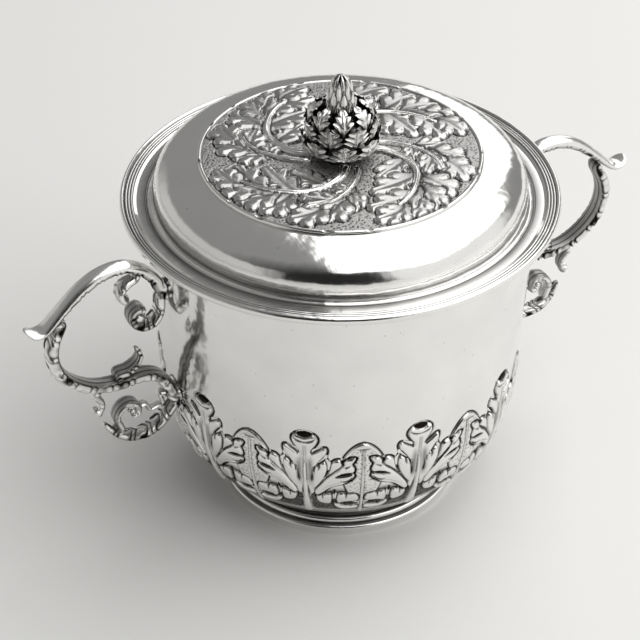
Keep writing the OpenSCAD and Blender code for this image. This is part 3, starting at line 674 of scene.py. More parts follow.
def leaf_field(columns, heights, band):
    """Relief of half a period of the leaf band, from the rib of a tall leaf to the rib of a round one."""
    x, z = np.meshgrid(np.linspace(0, LEAF_HALF, columns), heights)
    field = Relief(x.shape)

    def within(outline):
        return outline_edge(smooth_line(outline, 5, closed=True), x, z)

    def finger(points, radii):
        return finger_edge(points, radii, x, z)[0]

    def lay_rib(half_width, off, low, high, height):
        field.lay(np.where((z > low) & (z < high), half_width - off, -1.0), height, line=0.6, line_width=0.2)

    # Dull shaded ground between the stems, under all the leaves, and the painted dark reflection of the belly
    # low down
    low_ground = ease(40.5, 37.0, z) * ease(23.0, 25.5, z)
    field.tarnish = np.maximum(0.8 * low_ground, painted_belly_reflection(band, z))
    field.matting = low_ground

    # Round leaf: a punched face with a smooth margin, raised at its top, and the small leaves at its base
    edge = within(mirrored(ROUND_LEAF, LEAF_HALF))
    field.lay(edge, pillow(edge, 0.3, 0.15), matting=1.0, line_width=0.5)
    field.height += 0.3 * bell(edge - 0.6, 0.4) * ease(50, 54, z)
    field.matting *= ease(0.8, 1.4, edge) + (edge < 0)
    for outline in BASE_LEAVES:
        edge = within(outline)
        field.lay(edge, pillow(edge, 0.4, 0.4))

    # Tall leaf: one sheet with a dark line round it, out of which the lobes swell
    sheet_height = 0.45
    lobes = [within(outline) for outline in (*TALL_LOBES, mirrored(TALL_TIP, 0.0))]
    bulge = np.maximum.reduce([pillow(edge, 0.4, 0.45) * ease(-0.2, 0.5, edge) for edge in lobes])
    sheet = np.maximum.reduce([*lobes, finger(*TALL_STEM)])
    field.lay(sheet, np.maximum(bulge, sheet_height), line_width=0.75)

    # Its curled tip is a hollow, dark with painted shade, with a bright lip under it
    field.cut(within(mirrored(TIP_HOLLOW, 0.0)), 0.6)
    field.lay(finger(*TIP_LIP), 1.0, line=0.0)
    for points, radii, depth, dark in LEAF_STROKES:
        field.cut(finger(points, radii), depth, dark)

    # Ribs of the two leaves: soft shade and a groove lie beside the tall one, which is round on top
    shade = bell(x - 1.9, 1.0) * ease(57, 52, z) * ease(40, 45, z)
    field.tarnish = np.maximum(field.tarnish, 0.6 * shade)
    groove = 1.2 + 1.8 * ease(42, 26, z) - np.abs(x - 0.4)
    field.cut(groove * ease(42, 38, z) * ease(23.5, 25.5, z) - 0.4, 0.35, 0.8, soft=0.6)
    rib = np.interp(z, [24.5, 28, 36, 44, 57], [2.0, 1.6, 1.0, 0.65, 0.35])
    lay_rib(rib, x, 24.6, 61, 0.6 + 0.4 * np.sqrt(np.clip(1 - (x / rib) ** 2, 0, 1)))
    rib = np.interp(z, [24, 30, 60], [0.95, 0.55, 0.35])
    lay_rib(rib, np.abs(LEAF_HALF - x), 23.8, 58.8, 0.7)
    return field


def leaf_band(cup, band, half_columns=64, rows=150):
    """Two half rings of chased leaves: the relief set out square to the belly, over a plain back.

    Point = (r cos a, r sin a, z) with r and z moved out along the wall's normal by the relief at (a, z).
    """
    heights = np.linspace(band.low, band.high, rows)
    field = leaf_field(half_columns + 1, heights, band)
    fade = (ease(0, 1.2, heights - band.low) * ease(0, 1.2, band.high - heights))[:, None]

    def repeat(values):
        period = np.hstack([values, values[:, -2:0:-1]])
        return np.hstack([np.tile(period, band.leaves // 2), values[:, :1]])

    relief = repeat(field.height * fade) * band.relief
    columns = relief.shape[1]
    wall, out = np.stack([cup_radius(cup, heights), heights], -1), wall_out(cup, heights)
    back = wall[[-1, 0]] - (band.sunk - band.solder) * out[[-1, 0]]
    radius, height = (np.vstack([wall[:, i:i + 1] + out[:, i:i + 1] * relief,
                                 np.repeat(back[:, i:i + 1], columns, 1)]) for i in (0, 1))
    bare = np.zeros((len(back), columns))
    layers = {"tarnish": np.vstack([repeat(field.tarnish), bare]),
              "matting": np.vstack([repeat(field.matting * fade), bare])}
    end = np.arange(len(radius))[None, :] * columns
    halves = []
    for start in (band.turn, band.turn + np.pi):
        angle = start + np.arange(columns) / (columns - 1) * np.pi
        points, faces = rolled(round_axis(radius, angle, height), wrap=False)
        halves.append(((points, [*faces, end, end[:, ::-1] + columns - 1]), layers))
    return halves


# Handles

# Where a piece is soldered on, as a share of the run of the piece that carries it
SEATS = {"lower_scroll": 0.7333, "upper_leaf": 0.2667, "leaf_sprig": 0.5821, "drop_curl": 0.4857,
         "base_volute": 0.7625, "base_tendril": 0.8929, "base_tendril_end": 0.7643}


def strap_side(points, share, thick, side, solder):
    """Point on the side of a strap at a share of its run, and the way out from it."""
    steps = 100
    line = smooth_line(points, steps)
    last = len(line) - 1
    at = min(int(round(share * (len(points) - 1) * steps)), last)
    way = line[min(at + 1, last)] - line[max(at - 1, 0)]
    out = side * left_of(way / np.linalg.norm(way))
    return line[at] + out * (thick / 2 + solder), out


def handle_lines(cup, handle):
    """Middle lines of the nine pieces of a handle in its upright plane, as radius and height.

    Shares are measured out from the wall between the two roots, and up from the lower root.
    """
    upper_z = cup.height - handle.drop
    lower_z = upper_z - handle.span
    lower_r, upper_r = (float(cup_radius(cup, np.array(z))) for z in (lower_z, upper_z))

    def place(shares):
        x, y = np.asarray(shares, float).T
        radius = lower_r + (upper_r - lower_r) * y + x * handle.reach
        return np.stack([radius, lower_z + y * handle.span], -1)

    def root(z):
        out = wall_out(cup, np.array(z))
        return np.array([float(cup_radius(cup, np.array(z))), z]) + handle.solder * out, out

    def beside_root(z, thick):
        return root(z - (thick + handle.curl) / 2 - handle.root_gap)

    def seat(name, carrier, thick, side):
        return strap_side(lines[carrier], SEATS[name], thick, side, handle.solder)

    def leave(start, shares, end=None):
        at, out = start
        points = [at, at + handle.lead * out, *place(shares)]
        if end is not None:
            at, out = end
            points += [at + handle.lead * out, at]
        return np.array(points)

    lines = {}
    lines["upper_scroll"] = leave(root(upper_z), [
        (0.062, 1.08), (0.13, 1.18), (0.231, 1.25), (0.33, 1.26), (0.437, 1.23), (0.547, 1.16), (0.653, 1.06),
        (0.749, 0.96), (0.813, 0.905), (0.873, 0.9), (0.93, 0.95)])
    taper = handle.strap + (handle.thumb - handle.strap) * (2 * SEATS["lower_scroll"] - 1)
    lines["lower_scroll"] = leave(seat("lower_scroll", "upper_scroll", taper, -1), [
        (0.755, 0.79), (0.778, 0.66), (0.757, 0.52), (0.694, 0.405), (0.6, 0.315), (0.508, 0.27),
        (0.404, 0.255), (0.299, 0.26), (0.199, 0.255), (0.126, 0.215), (0.077, 0.13)], root(lower_z))
    lines["upper_volute"] = leave(beside_root(upper_z, handle.strap), [
        (0.047, 0.845), (0.066, 0.77), (0.115, 0.71), (0.186, 0.7), (0.242, 0.755), (0.242, 0.84),
        (0.19, 0.875), (0.152, 0.84)])
    lines["upper_leaf"] = leave(seat("upper_leaf", "upper_scroll", handle.strap, -1), [
        (0.25, 1.105), (0.294, 1.05), (0.283, 0.985), (0.238, 0.98)])
    lines["leaf_sprig"] = leave(seat("leaf_sprig", "lower_scroll", handle.strap, -1), [
        (0.313, 0.345), (0.25, 0.395), (0.226, 0.455), (0.252, 0.525)])
    lines["drop_curl"] = leave(seat("drop_curl", "lower_scroll", handle.strap, 1), [
        (0.517, 0.12), (0.531, 0.055), (0.574, 0.015)])
    lines["base_leaf"] = leave(beside_root(lower_z, handle.knot), [
        (0.095, -0.155), (0.165, -0.235), (0.263, -0.285), (0.367, -0.275), (0.449, -0.22), (0.499, -0.15),
        (0.525, -0.08)])
    lines["base_volute"] = leave(seat("base_volute", "base_leaf", handle.curl * 0.74, 1), [
        (0.439, -0.07), (0.404, 0.01), (0.338, 0.04), (0.29, 0), (0.299, -0.065), (0.345, -0.08)])
    lines["base_tendril"] = leave(
        seat("base_tendril", "lower_scroll", handle.knot, 1), [(0.123, -0.05), (0.205, -0.08)],
        seat("base_tendril_end", "base_volute", handle.curl, -1))
    return lines


def handle_forms(handle):
    """Shape of each piece of a handle along its run.

    Each has widths and thicknesses at shares of the run, how strongly its outer face is chased with leaf
    marks, the length of one mark in millimetres, how deep its inner face is sunk, how far its end is rounded
    off, the radius of the eye it rolls up to, how strongly its inner face is chased, and how round its
    section is: 1 is an ellipse.
    """
    w, t, c = handle.strap_width, handle.strap, handle.curl
    thumb_w, thumb = handle.thumb_width, handle.thumb

    def form(widths, thicks, marks=0.0, pitch=3.4, sunk=0.3, tip=0.06, eye=0.0, inner_marks=0.0,
             roundness=0.85):
        return SimpleNamespace(widths=widths, thicks=thicks, marks=marks, pitch=pitch, sunk=sunk, tip=tip,
                               eye=eye, inner_marks=inner_marks, roundness=roundness)

    return {
        "upper_scroll": form(
            [(0, w * 0.95), (0.5, w * 0.95), (0.72, w), (0.86, w * 1.08), (0.95, thumb_w),
             (1, thumb_w * 0.92)],
            [(0, t * 1.3), (0.5, t * 1.3), (0.8, t * 1.05), (0.95, thumb * 1.2), (1, thumb)],
            sunk=0.5, tip=0.07, inner_marks=0.7, roundness=1.0),
        "lower_scroll": form(
            [(0, w * 0.9), (0.12, w), (0.9, w), (1, w * 1.05)],
            [(0, t), (0.15, t * 1.25), (0.6, t * 1.2), (0.85, t * 1.25), (1, handle.knot * 1.1)],
            marks=1.0, pitch=4.8, tip=0.0),
        "upper_volute": form(
            [(0, w), (1, w)],
            [(0, c * 1.6), (0.5, c * 1.45), (0.9, c * 1.35), (1, c)],
            marks=0.5, tip=0.05, eye=2.8),
        "upper_leaf": form(
            [(0, w * 0.7), (0.5, w), (0.85, w), (1, w * 0.8)],
            [(0, c * 1.4), (0.6, c * 1.3), (1, c * 1.5)],
            marks=0.3, tip=0.16),
        "leaf_sprig": form(
            [(0, w * 0.9), (0.4, w * 0.95), (0.8, w * 0.7), (1, w * 0.25)],
            [(0, c * 1.7), (0.35, c * 1.5), (0.7, c * 1.1), (1, c * 0.6)],
            marks=0.5, pitch=2.8, tip=0.08),
        "drop_curl": form(
            [(0, w * 0.9), (0.5, w * 0.6), (0.8, w * 0.55), (0.92, w * 0.75), (1, w * 0.65)],
            [(0, c * 1.6), (0.6, c * 1.15), (0.8, c * 1.3), (0.92, c * 2.1), (1, c * 1.8)],
            marks=0.2, tip=0.16),
        "base_leaf": form(
            [(0, w), (0.3, w), (0.7, w * 0.9), (1, w * 0.35)],
            [(0, c * 1.6), (0.4, c * 1.4), (0.7, c * 1.35), (1, c * 0.6)],
            marks=0.7, tip=0.08),
        "base_volute": form(
            [(0, w * 0.9), (0.7, w * 0.9), (1, w * 0.95)],
            [(0, c * 1.35), (0.8, c * 1.2), (1, c)],
            marks=0.2, tip=0.07, eye=1.7),
        "base_tendril": form(
            [(0, w * 0.6), (0.5, w * 0.5), (1, w * 0.55)],
            [(0, c), (0.5, c * 0.8), (1, c * 0.9)],
            sunk=0.0, tip=0.0, roundness=1.0),
    }


def volute_eye(line, radius, width, columns=40):
    """Rolled-up end of a volute: a domed barrel across the handle, about the middle of the line's last curl.

    Radius = sine of the turn and side = cosine of it, both to a power that squares them up a little. A dark
    ring is sunk in each end.
    """
    turn = np.linspace(0, np.pi, columns)
    ring = radius * np.sin(turn) ** 0.75
    side = -width / 2 * signed_power(np.cos(turn), 0.85)
    dent = bell(ring / radius - 0.6, 0.12) * (np.abs(side) > 0.35 * width)
    ring[[0, -1]] = 0
    (points, faces), tarnish = turned(np.stack([ring, side * (1 - 0.12 * dent)], -1), 0.9 * dent, columns)
    x, z = line[-5:].mean(0)
    return (np.stack([x + points[:, 0], points[:, 2], z - points[:, 1]], -1), faces), tarnish


def strap(line, form, steps=14, columns=40):
    """Carries a rounded section along a line in the handle's upright plane.

    Point = line + left * out + across, where out and across run round the section. V-shaped leaf marks that
    follow the run are chased round the outer face and the sides. The inner face is sunk between two raised
    edges and painted dark as shade, with a darker line of painted shade on each side of its middle.
    """
    middle = smooth_line(line, steps)
    left = left_of(heading(middle))
    length = lengths_along(middle)[:, None]
    run = length / length[-1]
    width, thick = (np.interp(run, *zip(*table)) / 2 for table in (form.widths, form.thicks))
    if form.tip:
        into_tip = np.clip((run - 1 + form.tip) / form.tip, 0, 0.995)
        round_off = np.sqrt(1 - into_tip ** 2)
        width, thick = width * round_off, thick * round_off
    angle = np.arange(columns) / columns * FULL_TURN
    across, out = signed_power(np.sin(angle), form.roundness), signed_power(np.cos(angle), form.roundness)
    off = np.abs(across)
    outer, inner = ease(-0.75, 0.05, out), ease(0.1, -0.4, out)

    # Leaf marks of uneven length: each one climbs to a cut, leans back to the sides and has a keel
    phase = length / form.pitch + 0.35 * np.sin(0.8 * length) - 0.8 * off
    saw = phase - np.floor(phase)
    notch = np.minimum(saw, 1 - saw)
    chased = form.marks * outer + form.inner_marks * inner * ease(0.8, 0.65, run)
    mark = chased * (0.6 * saw - 0.6 * bell(notch, 0.1) + 0.3 * bell(across, 0.16))
    swell = 1 + 0.35 * chased * (saw - 0.5) * off
    hollow = form.sunk * inner * (1 - ease(0.55, 0.85, off)) * ease(0.95, 0.8, run)
    lift = thick * out + mark * np.sign(out) * np.minimum(thick, 1) + hollow
    points = np.stack([middle[:, :1] + left[:, :1] * lift, width * across * swell,
                       middle[:, 1:] + left[:, 1:] * lift], -1)

    # Tarnish in the cuts, painted shade along the edge between the outer and the inner face, and on the inner
    # face
    cuts = bell(notch, 0.2) * np.clip(2 * chased, 0, 1)
    edge_shade = 0.6 * bell(out + 0.5, 0.14) * np.clip(2 * form.marks, 0, 1) * ease(0.1, 0.5, saw)
    inner_shade = (0.45 + 0.4 * bell(off - 0.35, 0.07)) * inner * ease(1.0, 0.85, run)
    tarnish = np.clip(cuts + edge_shade + inner_shade + 0.3 * hollow, 0, 1).ravel()
    if not form.eye:
        return tube(points), tarnish
    last_width = form.widths[-1][1]
    eye, dents = volute_eye(line, form.eye, last_width)
    return joined([tube(points), eye]), np.concatenate([tarnish, dents])


# Cover

# Powers of the radius and of the height in the dome's superellipse
DOME_FLAT, DOME_STEEP = 8, 3


def dome_height(cover, radius):
    """Height of the outer face of the dome at a radius, as a superellipse.

    The radius as a share of its full size and the height as a share of its own, each to its power, make 1.
    """
    share = np.clip(1 - (radius / cover.dome_radius) ** DOME_FLAT, 0, 1)
    return cover.seat + cover.wall + cover.dome_rise * share ** (1 / DOME_STEEP)


def dome_profile(cover):
    """Outline of the cover's shell: flange with a scribed groove, fillet, steep side, shoulder and flat top.

    With it goes how dark each point is: tarnish lies in the groove.
    """
    angle = np.radians(np.linspace(0, 90, 120))
    out, up = np.cos(angle) ** (2 / DOME_FLAT), np.sin(angle) ** (2 / DOME_STEEP)
    face = cover.seat + cover.wall
    fillet_radius, clear = 0.9, 0.1
    groove_out, groove_up, groove_radius = 2.3, 0.15, 0.45
    outer = np.stack([cover.dome_radius * out, face + cover.dome_rise * up], -1)
    inner = np.stack([(cover.dome_radius - cover.wall) * out, cover.seat + cover.dome_rise * up], -1)
    outer[-1, 0] = inner[-1, 0] = 0
    fillet = arc((cover.dome_radius + fillet_radius, face + fillet_radius), fillet_radius, -90, -180, 8)
    groove = arc((cover.dome_radius + groove_out, face + groove_up), groove_radius, 0, -180, 6)
    edge = cover.rim_inner - clear
    flange = [[edge, cover.seat], [edge, face]]
    rising = outer[outer[:, 1] > face + fillet_radius + clear]
    outline = np.vstack([inner[::-1], flange, groove, fillet, rising])
    dark = np.zeros(len(outline))
    dark[len(inner) + len(flange):][:len(groove)] = 0.7
    return outline, dark


def rim_profile(cover):
    """Outline of the reeded rim: a border sloping up from the flange, three reeds and a raised round edge.

    With it goes how dark each point is: tarnish lies between the reeds.
    """
    low = cover.seat
    reed, foot, edge_width, edge_height = 0.5, 1.7, 0.95, 1.4
    edge_middle = (cover.radius - edge_width, low + edge_height + 0.05)
    edge = arc((0, 0), 1, -75, 105, 16) * (edge_width, edge_height) + edge_middle
    last = cover.radius - 2 * edge_width - reed
    reeds = np.vstack([arc((last - 2.04 * reed * k, low + foot), reed, 0, 180, 8) for k in range(3)])
    under = [[cover.rim_inner, low], [cover.radius - edge_width, low]]
    border = [[last - 5.5 * reed, low + foot - 0.1], [cover.rim_inner, low + cover.wall + 0.15]]
    outline = np.vstack([under, edge, reeds, border])
    dark = np.zeros(len(outline))
    between = 0.95 * ease(foot + 0.95 * reed, foot + 0.4 * reed, reeds[:, 1] - low)
    dark[len(under) + len(edge):][:len(reeds)] = between
    return outline, dark


# Rosette: stems and leaflets of one frond, as radius and angle in degrees

MAIN_STEM = [(11, 6), (16, 0), (20, -8), (25, -17), (30, -29), (34, -42), (37.5, -53), (40, -62)]
SIDE_STEM = [(13, 25), (15, 22), (21, 11), (28, 0), (34, -10), (38.5, -20)]
# Base, tip and width of each leaflet
FROND_LEAFLETS = [
    ((25, 5), (37, 4), 11.0), ((29, -3), (43, -9), 13.0), ((34, -11), (46, -23), 13.5),
    ((23, 7), (26, -12), 9.0), ((29, -2), (33, -25), 11.0),
    ((31, -33), (46, -37), 13.5), ((34, -42), (46.5, -50), 13.5), ((37, -51), (46.5, -63), 13.0),
    ((20, -12), (22, -52), 12.0), ((27, -29), (29, -67), 13.5), ((34, -45), (38, -75), 13.5),
    ((39, -60), (45.5, -75), 12.0)]
# Place of each lobe along a leaflet, and the side that it leans to
LEAFLET_LOBES = [(0.5, 1), (0.5, -1), (0.8, 1), (0.8, -1), (1.0, 0)]


def polar(points):
    """Points from radius and angle in degrees."""
    radius, angle = np.asarray(points, float).T
    angle = np.radians(angle)
    return np.stack([radius * np.cos(angle), radius * np.sin(angle)], -1)


def leaflet(base, tip, width, x, y):
    """Distance in from a leaflet, share of the way to its tip, side from -1 to 1, and distance from a notch.

    A sheet bent like a bow from base to tip widens to a rounded end, and round lobes stand side by side along
    its margin; a notch runs in where the distances from two lobes are equal.
    """
    k = np.linspace(0, 1, 41)[:, None]
    knee = base * (1 + 0.45 * np.linalg.norm(tip - base) / np.linalg.norm(base))
    bow = (1 - k) ** 2 * base + 2 * k * (1 - k) * knee + k ** 2 * tip
    length = lengths_along(bow)
    share = np.linspace(0, 1, 11)
    blade = np.stack([np.interp(share * length[-1], length, line) for line in bow.T], -1)
    half = width * np.interp(share, [0, 0.35, 0.7, 1], [0.1, 0.26, 0.3, 0.16])
    edge, along = finger_edge(blade, half, x, y)
    margin = left_of(heading(blade)) * 0.3 * width
    thin = np.zeros(len(share))
    side = finger_edge(blade + margin, thin, x, y)[0] - finger_edge(blade - margin, thin, x, y)[0]
    lobes = []
    for place, lean in LEAFLET_LOBES:
        at = round(place * (len(share) - 1))
        lobe = np.stack([blade[at - 3], blade[at] + lean * margin[at]])
        lobes.append(finger_edge(lobe, [0.1 * width, 0.2 * width], x, y)[0])
    second, first = np.sort(lobes, 0)[-2:]
    return np.maximum(edge, first), along, np.clip(side / (0.6 * width), -1, 1), first - second


def frond_field(x, y, step):
    """Relief of swirling fronds: lobed leaflets laid on in turn like shingles, with ribbed stems on top.

    A leaflet is a sheet that climbs to its tip and, from a fold at its vein, to both margins, with short
    notches between its lobes. The frond and its two neighbours are laid, because they reach over one another.
    """
    field = Relief(x.shape)
    field.matting[:] = 1.0
    field.tarnish[:] = 0.45
    places = []
    for turn in np.radians([step, 0, -step]):
        c, s = np.cos(turn), np.sin(turn)
        places.append((x * c + y * s, y * c - x * s))
    for base, tip, width in FROND_LEAFLETS:
        base, tip = polar([base, tip])
        for place in places:
            edge, along, side, apart = leaflet(base, tip, width, *place)
            inside, rounding = ease(0, 0.3, edge), ease(-0.2, 1.6, edge)
            notch = bell(apart, 0.6) * ease(2.6, 0.6, edge)
            fold = bell(side, 0.16)
            climb = 0.25 * along + 0.22 * np.abs(side) ** 1.5
            height = 0.15 + 0.45 * rounding + climb - 0.14 * notch - 0.08 * fold
            field.lay(edge, height, line=0.9, line_width=0.45)
            shade = 0.32 + 0.35 * ease(0.6, 0.1, along) + 0.25 * fold * ease(1, 0.8, along)
            dark = inside * np.maximum(0.6 * notch, shade)
            field.tarnish = np.maximum(field.tarnish * (1 - inside), dark)
    for stem, start, end in ((SIDE_STEM, 1.3, 0.8), (MAIN_STEM, 2.0, 0.9)):
        line = smooth_line(polar(stem), 5)
        for place in places:
            edge, along = finger_edge(line, np.linspace(start, end, len(line)), *place)
            field.lay(edge, 0.75 + 0.2 * np.cos(np.clip(edge, 0, 2) * 5.5), line=0.7, line_width=0.3)
            between_ribs = 0.5 * bell(edge - 0.57, 0.14) * (along < 0.97)
            field.tarnish = np.maximum(field.tarnish, between_ribs)
    return field


def rosette(cover, columns=640, rows=150, edge_rows=10):
    """Chased disc: point = (r cos a, r sin a, dome + relief at (r, a)), over a plain underside.

    A bead with uneven nicks runs round its edge, with a groove inside it that is dark with tarnish and
    painted shade.
    """
    inner, outer = 6.0, cover.rosette_radius
    bead_radius, groove_in = 0.7, 1.6
    radius = np.concatenate([np.linspace(inner, outer - groove_in, rows - edge_rows),
                             np.linspace(outer - 1.5, outer, edge_rows)])
    angle = np.arange(columns) / columns * FULL_TURN
    r, a = np.meshgrid(radius, angle[:columns // cover.fronds], indexing="ij")
    field = frond_field(r * np.cos(a), r * np.sin(a), 360 / cover.fronds)
    fade = ease(outer - 1.2, outer - 2.2, radius)[:, None]
    relief, tarnish, matting = (np.tile(layer, cover.fronds) * fade
                                for layer in (field.height, field.tarnish, field.matting))

    angle = angle + cover.frond_turn
    wobble = 0.3 * np.sin(9 * angle + 1) + 0.3 * np.sin(23 * angle) + 0.25 * np.sin(41 * angle + 2)
    nick = ease(0.35, 0.6, wobble)
    bead = np.sqrt(np.clip(1 - ((radius - outer + bead_radius) / bead_radius) ** 2, 0, 1))[:, None]
    groove = bell(radius - outer + groove_in, 0.35)[:, None]
    relief = relief * cover.rosette_relief + bead * (0.6 - 0.35 * nick)
    # Tarnish and painted shade in the groove inside the bead, and tarnish in the nicks
    tarnish = np.maximum(tarnish, 0.8 * np.maximum(groove, nick * bead))

    top = dome_height(cover, radius)[:, None] + cover.rosette + relief
    under_radius = np.array([outer, inner])
    under = np.repeat(dome_height(cover, under_radius)[:, None], columns, 1)
    ring = np.concatenate([radius, under_radius])[:, None]
    points, (faces,) = rolled(round_axis(ring, angle, np.vstack([top, under])))
    bare = np.zeros_like(under)
    layers = {"tarnish": np.vstack([tarnish, bare]), "matting": np.vstack([matting, bare])}
    return (points, [faces[:, ::-1]]), layers


# Finial

# Leaves of the bud: path of radius and height, half widths along it, thickness, depth of the cuts between
# lobes, height of the rib, and the share of the front that is dark with painted shade
CALYX_LEAF = {
    "path": [(6.4, 4.0), (10, 2.6), (12.8, 3.6), (13.8, 6.0), (13.9, 8.6), (14.8, 10.2)],
    "widths": [2.8, 5.0, 6.0, 5.6, 4.2, 0.7], "thick": 0.8, "cut": 0.42, "rib": 0.45, "shaded": 0.3}
LOWER_LEAF = {
    "path": [(7.8, 1.2), (11.2, 1.9), (12.5, 4.2), (12.7, 7.0), (13.2, 9.2), (14.5, 10.4)],
    "widths": [2.4, 4.5, 5.1, 4.6, 3.4, 0.5], "thick": 0.9, "cut": 0.45, "rib": 0.55, "shaded": 0.42}
UPPER_LEAF = {
    "path": [(6.6, 2.6), (10.4, 4.6), (11.6, 8.4), (11.0, 11.8), (9.2, 13.8), (7.2, 14.4), (6.6, 15.4)],
    "widths": [1.8, 3.7, 4.4, 4.1, 3.3, 2.4, 0.6], "thick": 0.9, "cut": 0.4, "rib": 0.5, "shaded": 0.6}


def calyx_core(finial, columns=96):
    """Turned core of the calyx: a spreading foot, a narrow neck and a round plate, all dark with painted
    shade.
    """
    low, rim = finial.base, finial.base + finial.calyx
    plate, edge = 8.6, 0.2
    profile = [(0, low), (8.4, low), (8.7, low + 0.5), (7.2, low + 1.2), (5.7, low + 2.2), (5.9, low + 3.4),
               (plate, rim - edge), (plate, rim), (0, rim)]
    return turned(profile, np.full(len(profile), 0.8), columns)


def bud_leaf(ground, path, widths, thick, cut, rib, shaded, lobes=5, columns=25, rows=96):
    """One leaf of the bud: its middle line is a path of radius and height over a ground, with half widths.

    Point = path(s) + across + out * bow, where s runs ahead towards the edges, so that the pointed lobes lean
    to the tip. The bow has a rib, a ridge in each lobe and a fall to the edges, and the back is the front set
    in by the thickness. The shaded share of the front, low down, is painted dark as shade, as are the valleys
    between the ridges and beside the rib, and so is the back but for the curled tip.
    """
    line = smooth_line(np.array(path) + (0, ground), 24)
    length = lengths_along(line)
    run = np.linspace(0, 1, rows)[:, None]
    across = np.linspace(-1, 1, columns)[None, :]
    off = np.abs(across)
    ahead = run + 0.3 * off * (1 - run)
    radius, height, way_r, way_z = (np.interp(ahead, length / length[-1], values)
                                    for values in (*line.T, *heading(line).T))
    saw = (run * lobes) % 1
    lobe_end = 0.86
    lobe = saw * ease(1.0, lobe_end, saw) / lobe_end
    grown = ease(0.1, 0.3, run)
    half = np.interp(run, np.linspace(0, 1, len(widths)), widths) * (1 - cut * (1 - lobe) * grown)
    ridge = np.sin(np.pi * saw)
    bow = (rib * (1 - 0.6 * run) * bell(off, 0.14) + rib * ridge * grown * ease(0.2, 0.6, off)
           - 0.18 * off ** 2 * half)
    depth = thick * (1 - 0.55 * run) * (1 - 0.6 * off ** 4)

    def face(offset):
        return np.stack([radius + way_z * offset, across * half, height - way_r * offset], -1)

    loops = np.concatenate([face(bow), face(bow - depth)[:, -2:0:-1]], 1)
    # Painted shade in the valleys between the ridges and beside the rib, low on the front and on the back
    between_ridges = (1 - ridge) ** 3
    beside_rib = 0.6 * bell(off - 0.26, 0.08) * (1 - run)
    valley = between_ridges * grown * ease(0.15, 0.5, off) + beside_rib
    front = np.clip(valley + ease(shaded, shaded - 0.25, run + 0.15 * off), 0, 1)
    back = np.clip(1 - 0.9 * ease(0.6, 0.85, run) + 0.7 * between_ridges, 0, 1)
    return tube(loops), np.hstack([front, np.repeat(back, columns - 2, 1)])


def leaf_row(leaf, amount, turn):
    """A leaf repeated round the axis."""
    (points, faces), tarnish = leaf
    skins = []
    for angle in turn + np.arange(amount) / amount * FULL_TURN:
        c, s = np.cos(angle), np.sin(angle)
        skins.append((points @ np.array([[c, s, 0], [-s, c, 0], [0, 0, 1]]), faces))
    return joined(skins), np.tile(tarnish.ravel(), amount)


def cone(finial, columns=180, rows=190, tiers=4, around=7):
    """Pine-cone core: a tapering round body with overlapping long pointed scales in staggered rows.

    Point = (r cos a, r sin a, z), where r is the body's radius at z with the height of the scales at (a, z)
    on it. Each scale has a keel down its middle that falls to both sides, and the lower ones lie over the
    upper.
    """
    over_calyx = 3.2
    low = finial.base + finial.calyx + over_calyx
    share = np.linspace(0, 1, rows)
    body = np.interp(share, [0, 0.25, 0.44, 0.56, 0.68, 0.83, 0.94, 0.985, 1],
                     [4.4, 5.0, 5.0, 4.6, 3.9, 3.2, 2.1, 1.2, 0.0])
    angle = np.arange(columns) / columns * FULL_TURN
    lift = np.zeros((rows, columns))
    # Painted shade: the body between the scales is dark, a dark line runs round each scale, and the lower
    # part of each scale is darker
    dark = np.ones((rows, columns))
    first_tier, tier_step, scale_length = 0.24, 0.16, 0.36
    for tier in reversed(range(tiers)):
        v = ((share - first_tier - tier_step * tier) / scale_length)[:, None]
        u = np.abs((angle / FULL_TURN * around + 0.5 * (tier % 2)) % 1.0 - 0.5) * 2
        edge = np.clip(1 - v, 0, 1) ** 0.6 - u
        inside = ease(0, 0.15, edge) * ((v > 0) & (v < 1))
        scale = 0.1 + 0.9 * np.clip(v, 0, 1) + 0.8 * (1 - u)
        lift = lift * (1 - inside) + scale * inside
        rim = 0.8 * bell(edge + 0.08, 0.14) * ((v > 0.05) & (v < 1.1))
        dark = np.maximum(dark, rim) * (1 - inside)
        dark = np.maximum(dark, 0.35 * inside * ease(0.6, 0.0, v))
    size = np.interp(share, [0, 0.1, 0.9, 1], [0.4, 1.1, 0.9, 0.2])[:, None]
    radius = np.maximum(body[:, None] - 0.6 * size + lift * size, 0.05)
    height = (low + (finial.tip - low) * share)[:, None]
    return tube(round_axis(radius, angle, height)), np.clip(dark, 0, 1)


# Stage


def add_floor(scene, tint, half=1.6):
    """Square floor of plain matt paint."""
    mesh = bpy.data.meshes.new("floor")
    mesh.from_pydata([(-half, -half, 0), (half, -half, 0), (half, half, 0), (-half, half, 0)], [],
                     [(0, 1, 2, 3)])
    paint = bpy.data.materials.new("matt_floor_paint")
    paint.use_nodes = True
    shader = paint.node_tree.nodes["Principled BSDF"]
    shader.inputs["Base Color"].default_value = tint
    shader.inputs["Roughness"].default_value = 0.9
    shader.inputs["Specular IOR Level"].default_value = 0.1
    mesh.materials.append(paint)
    floor = bpy.data.objects.new("floor", mesh)
    scene.collection.objects.link(floor)


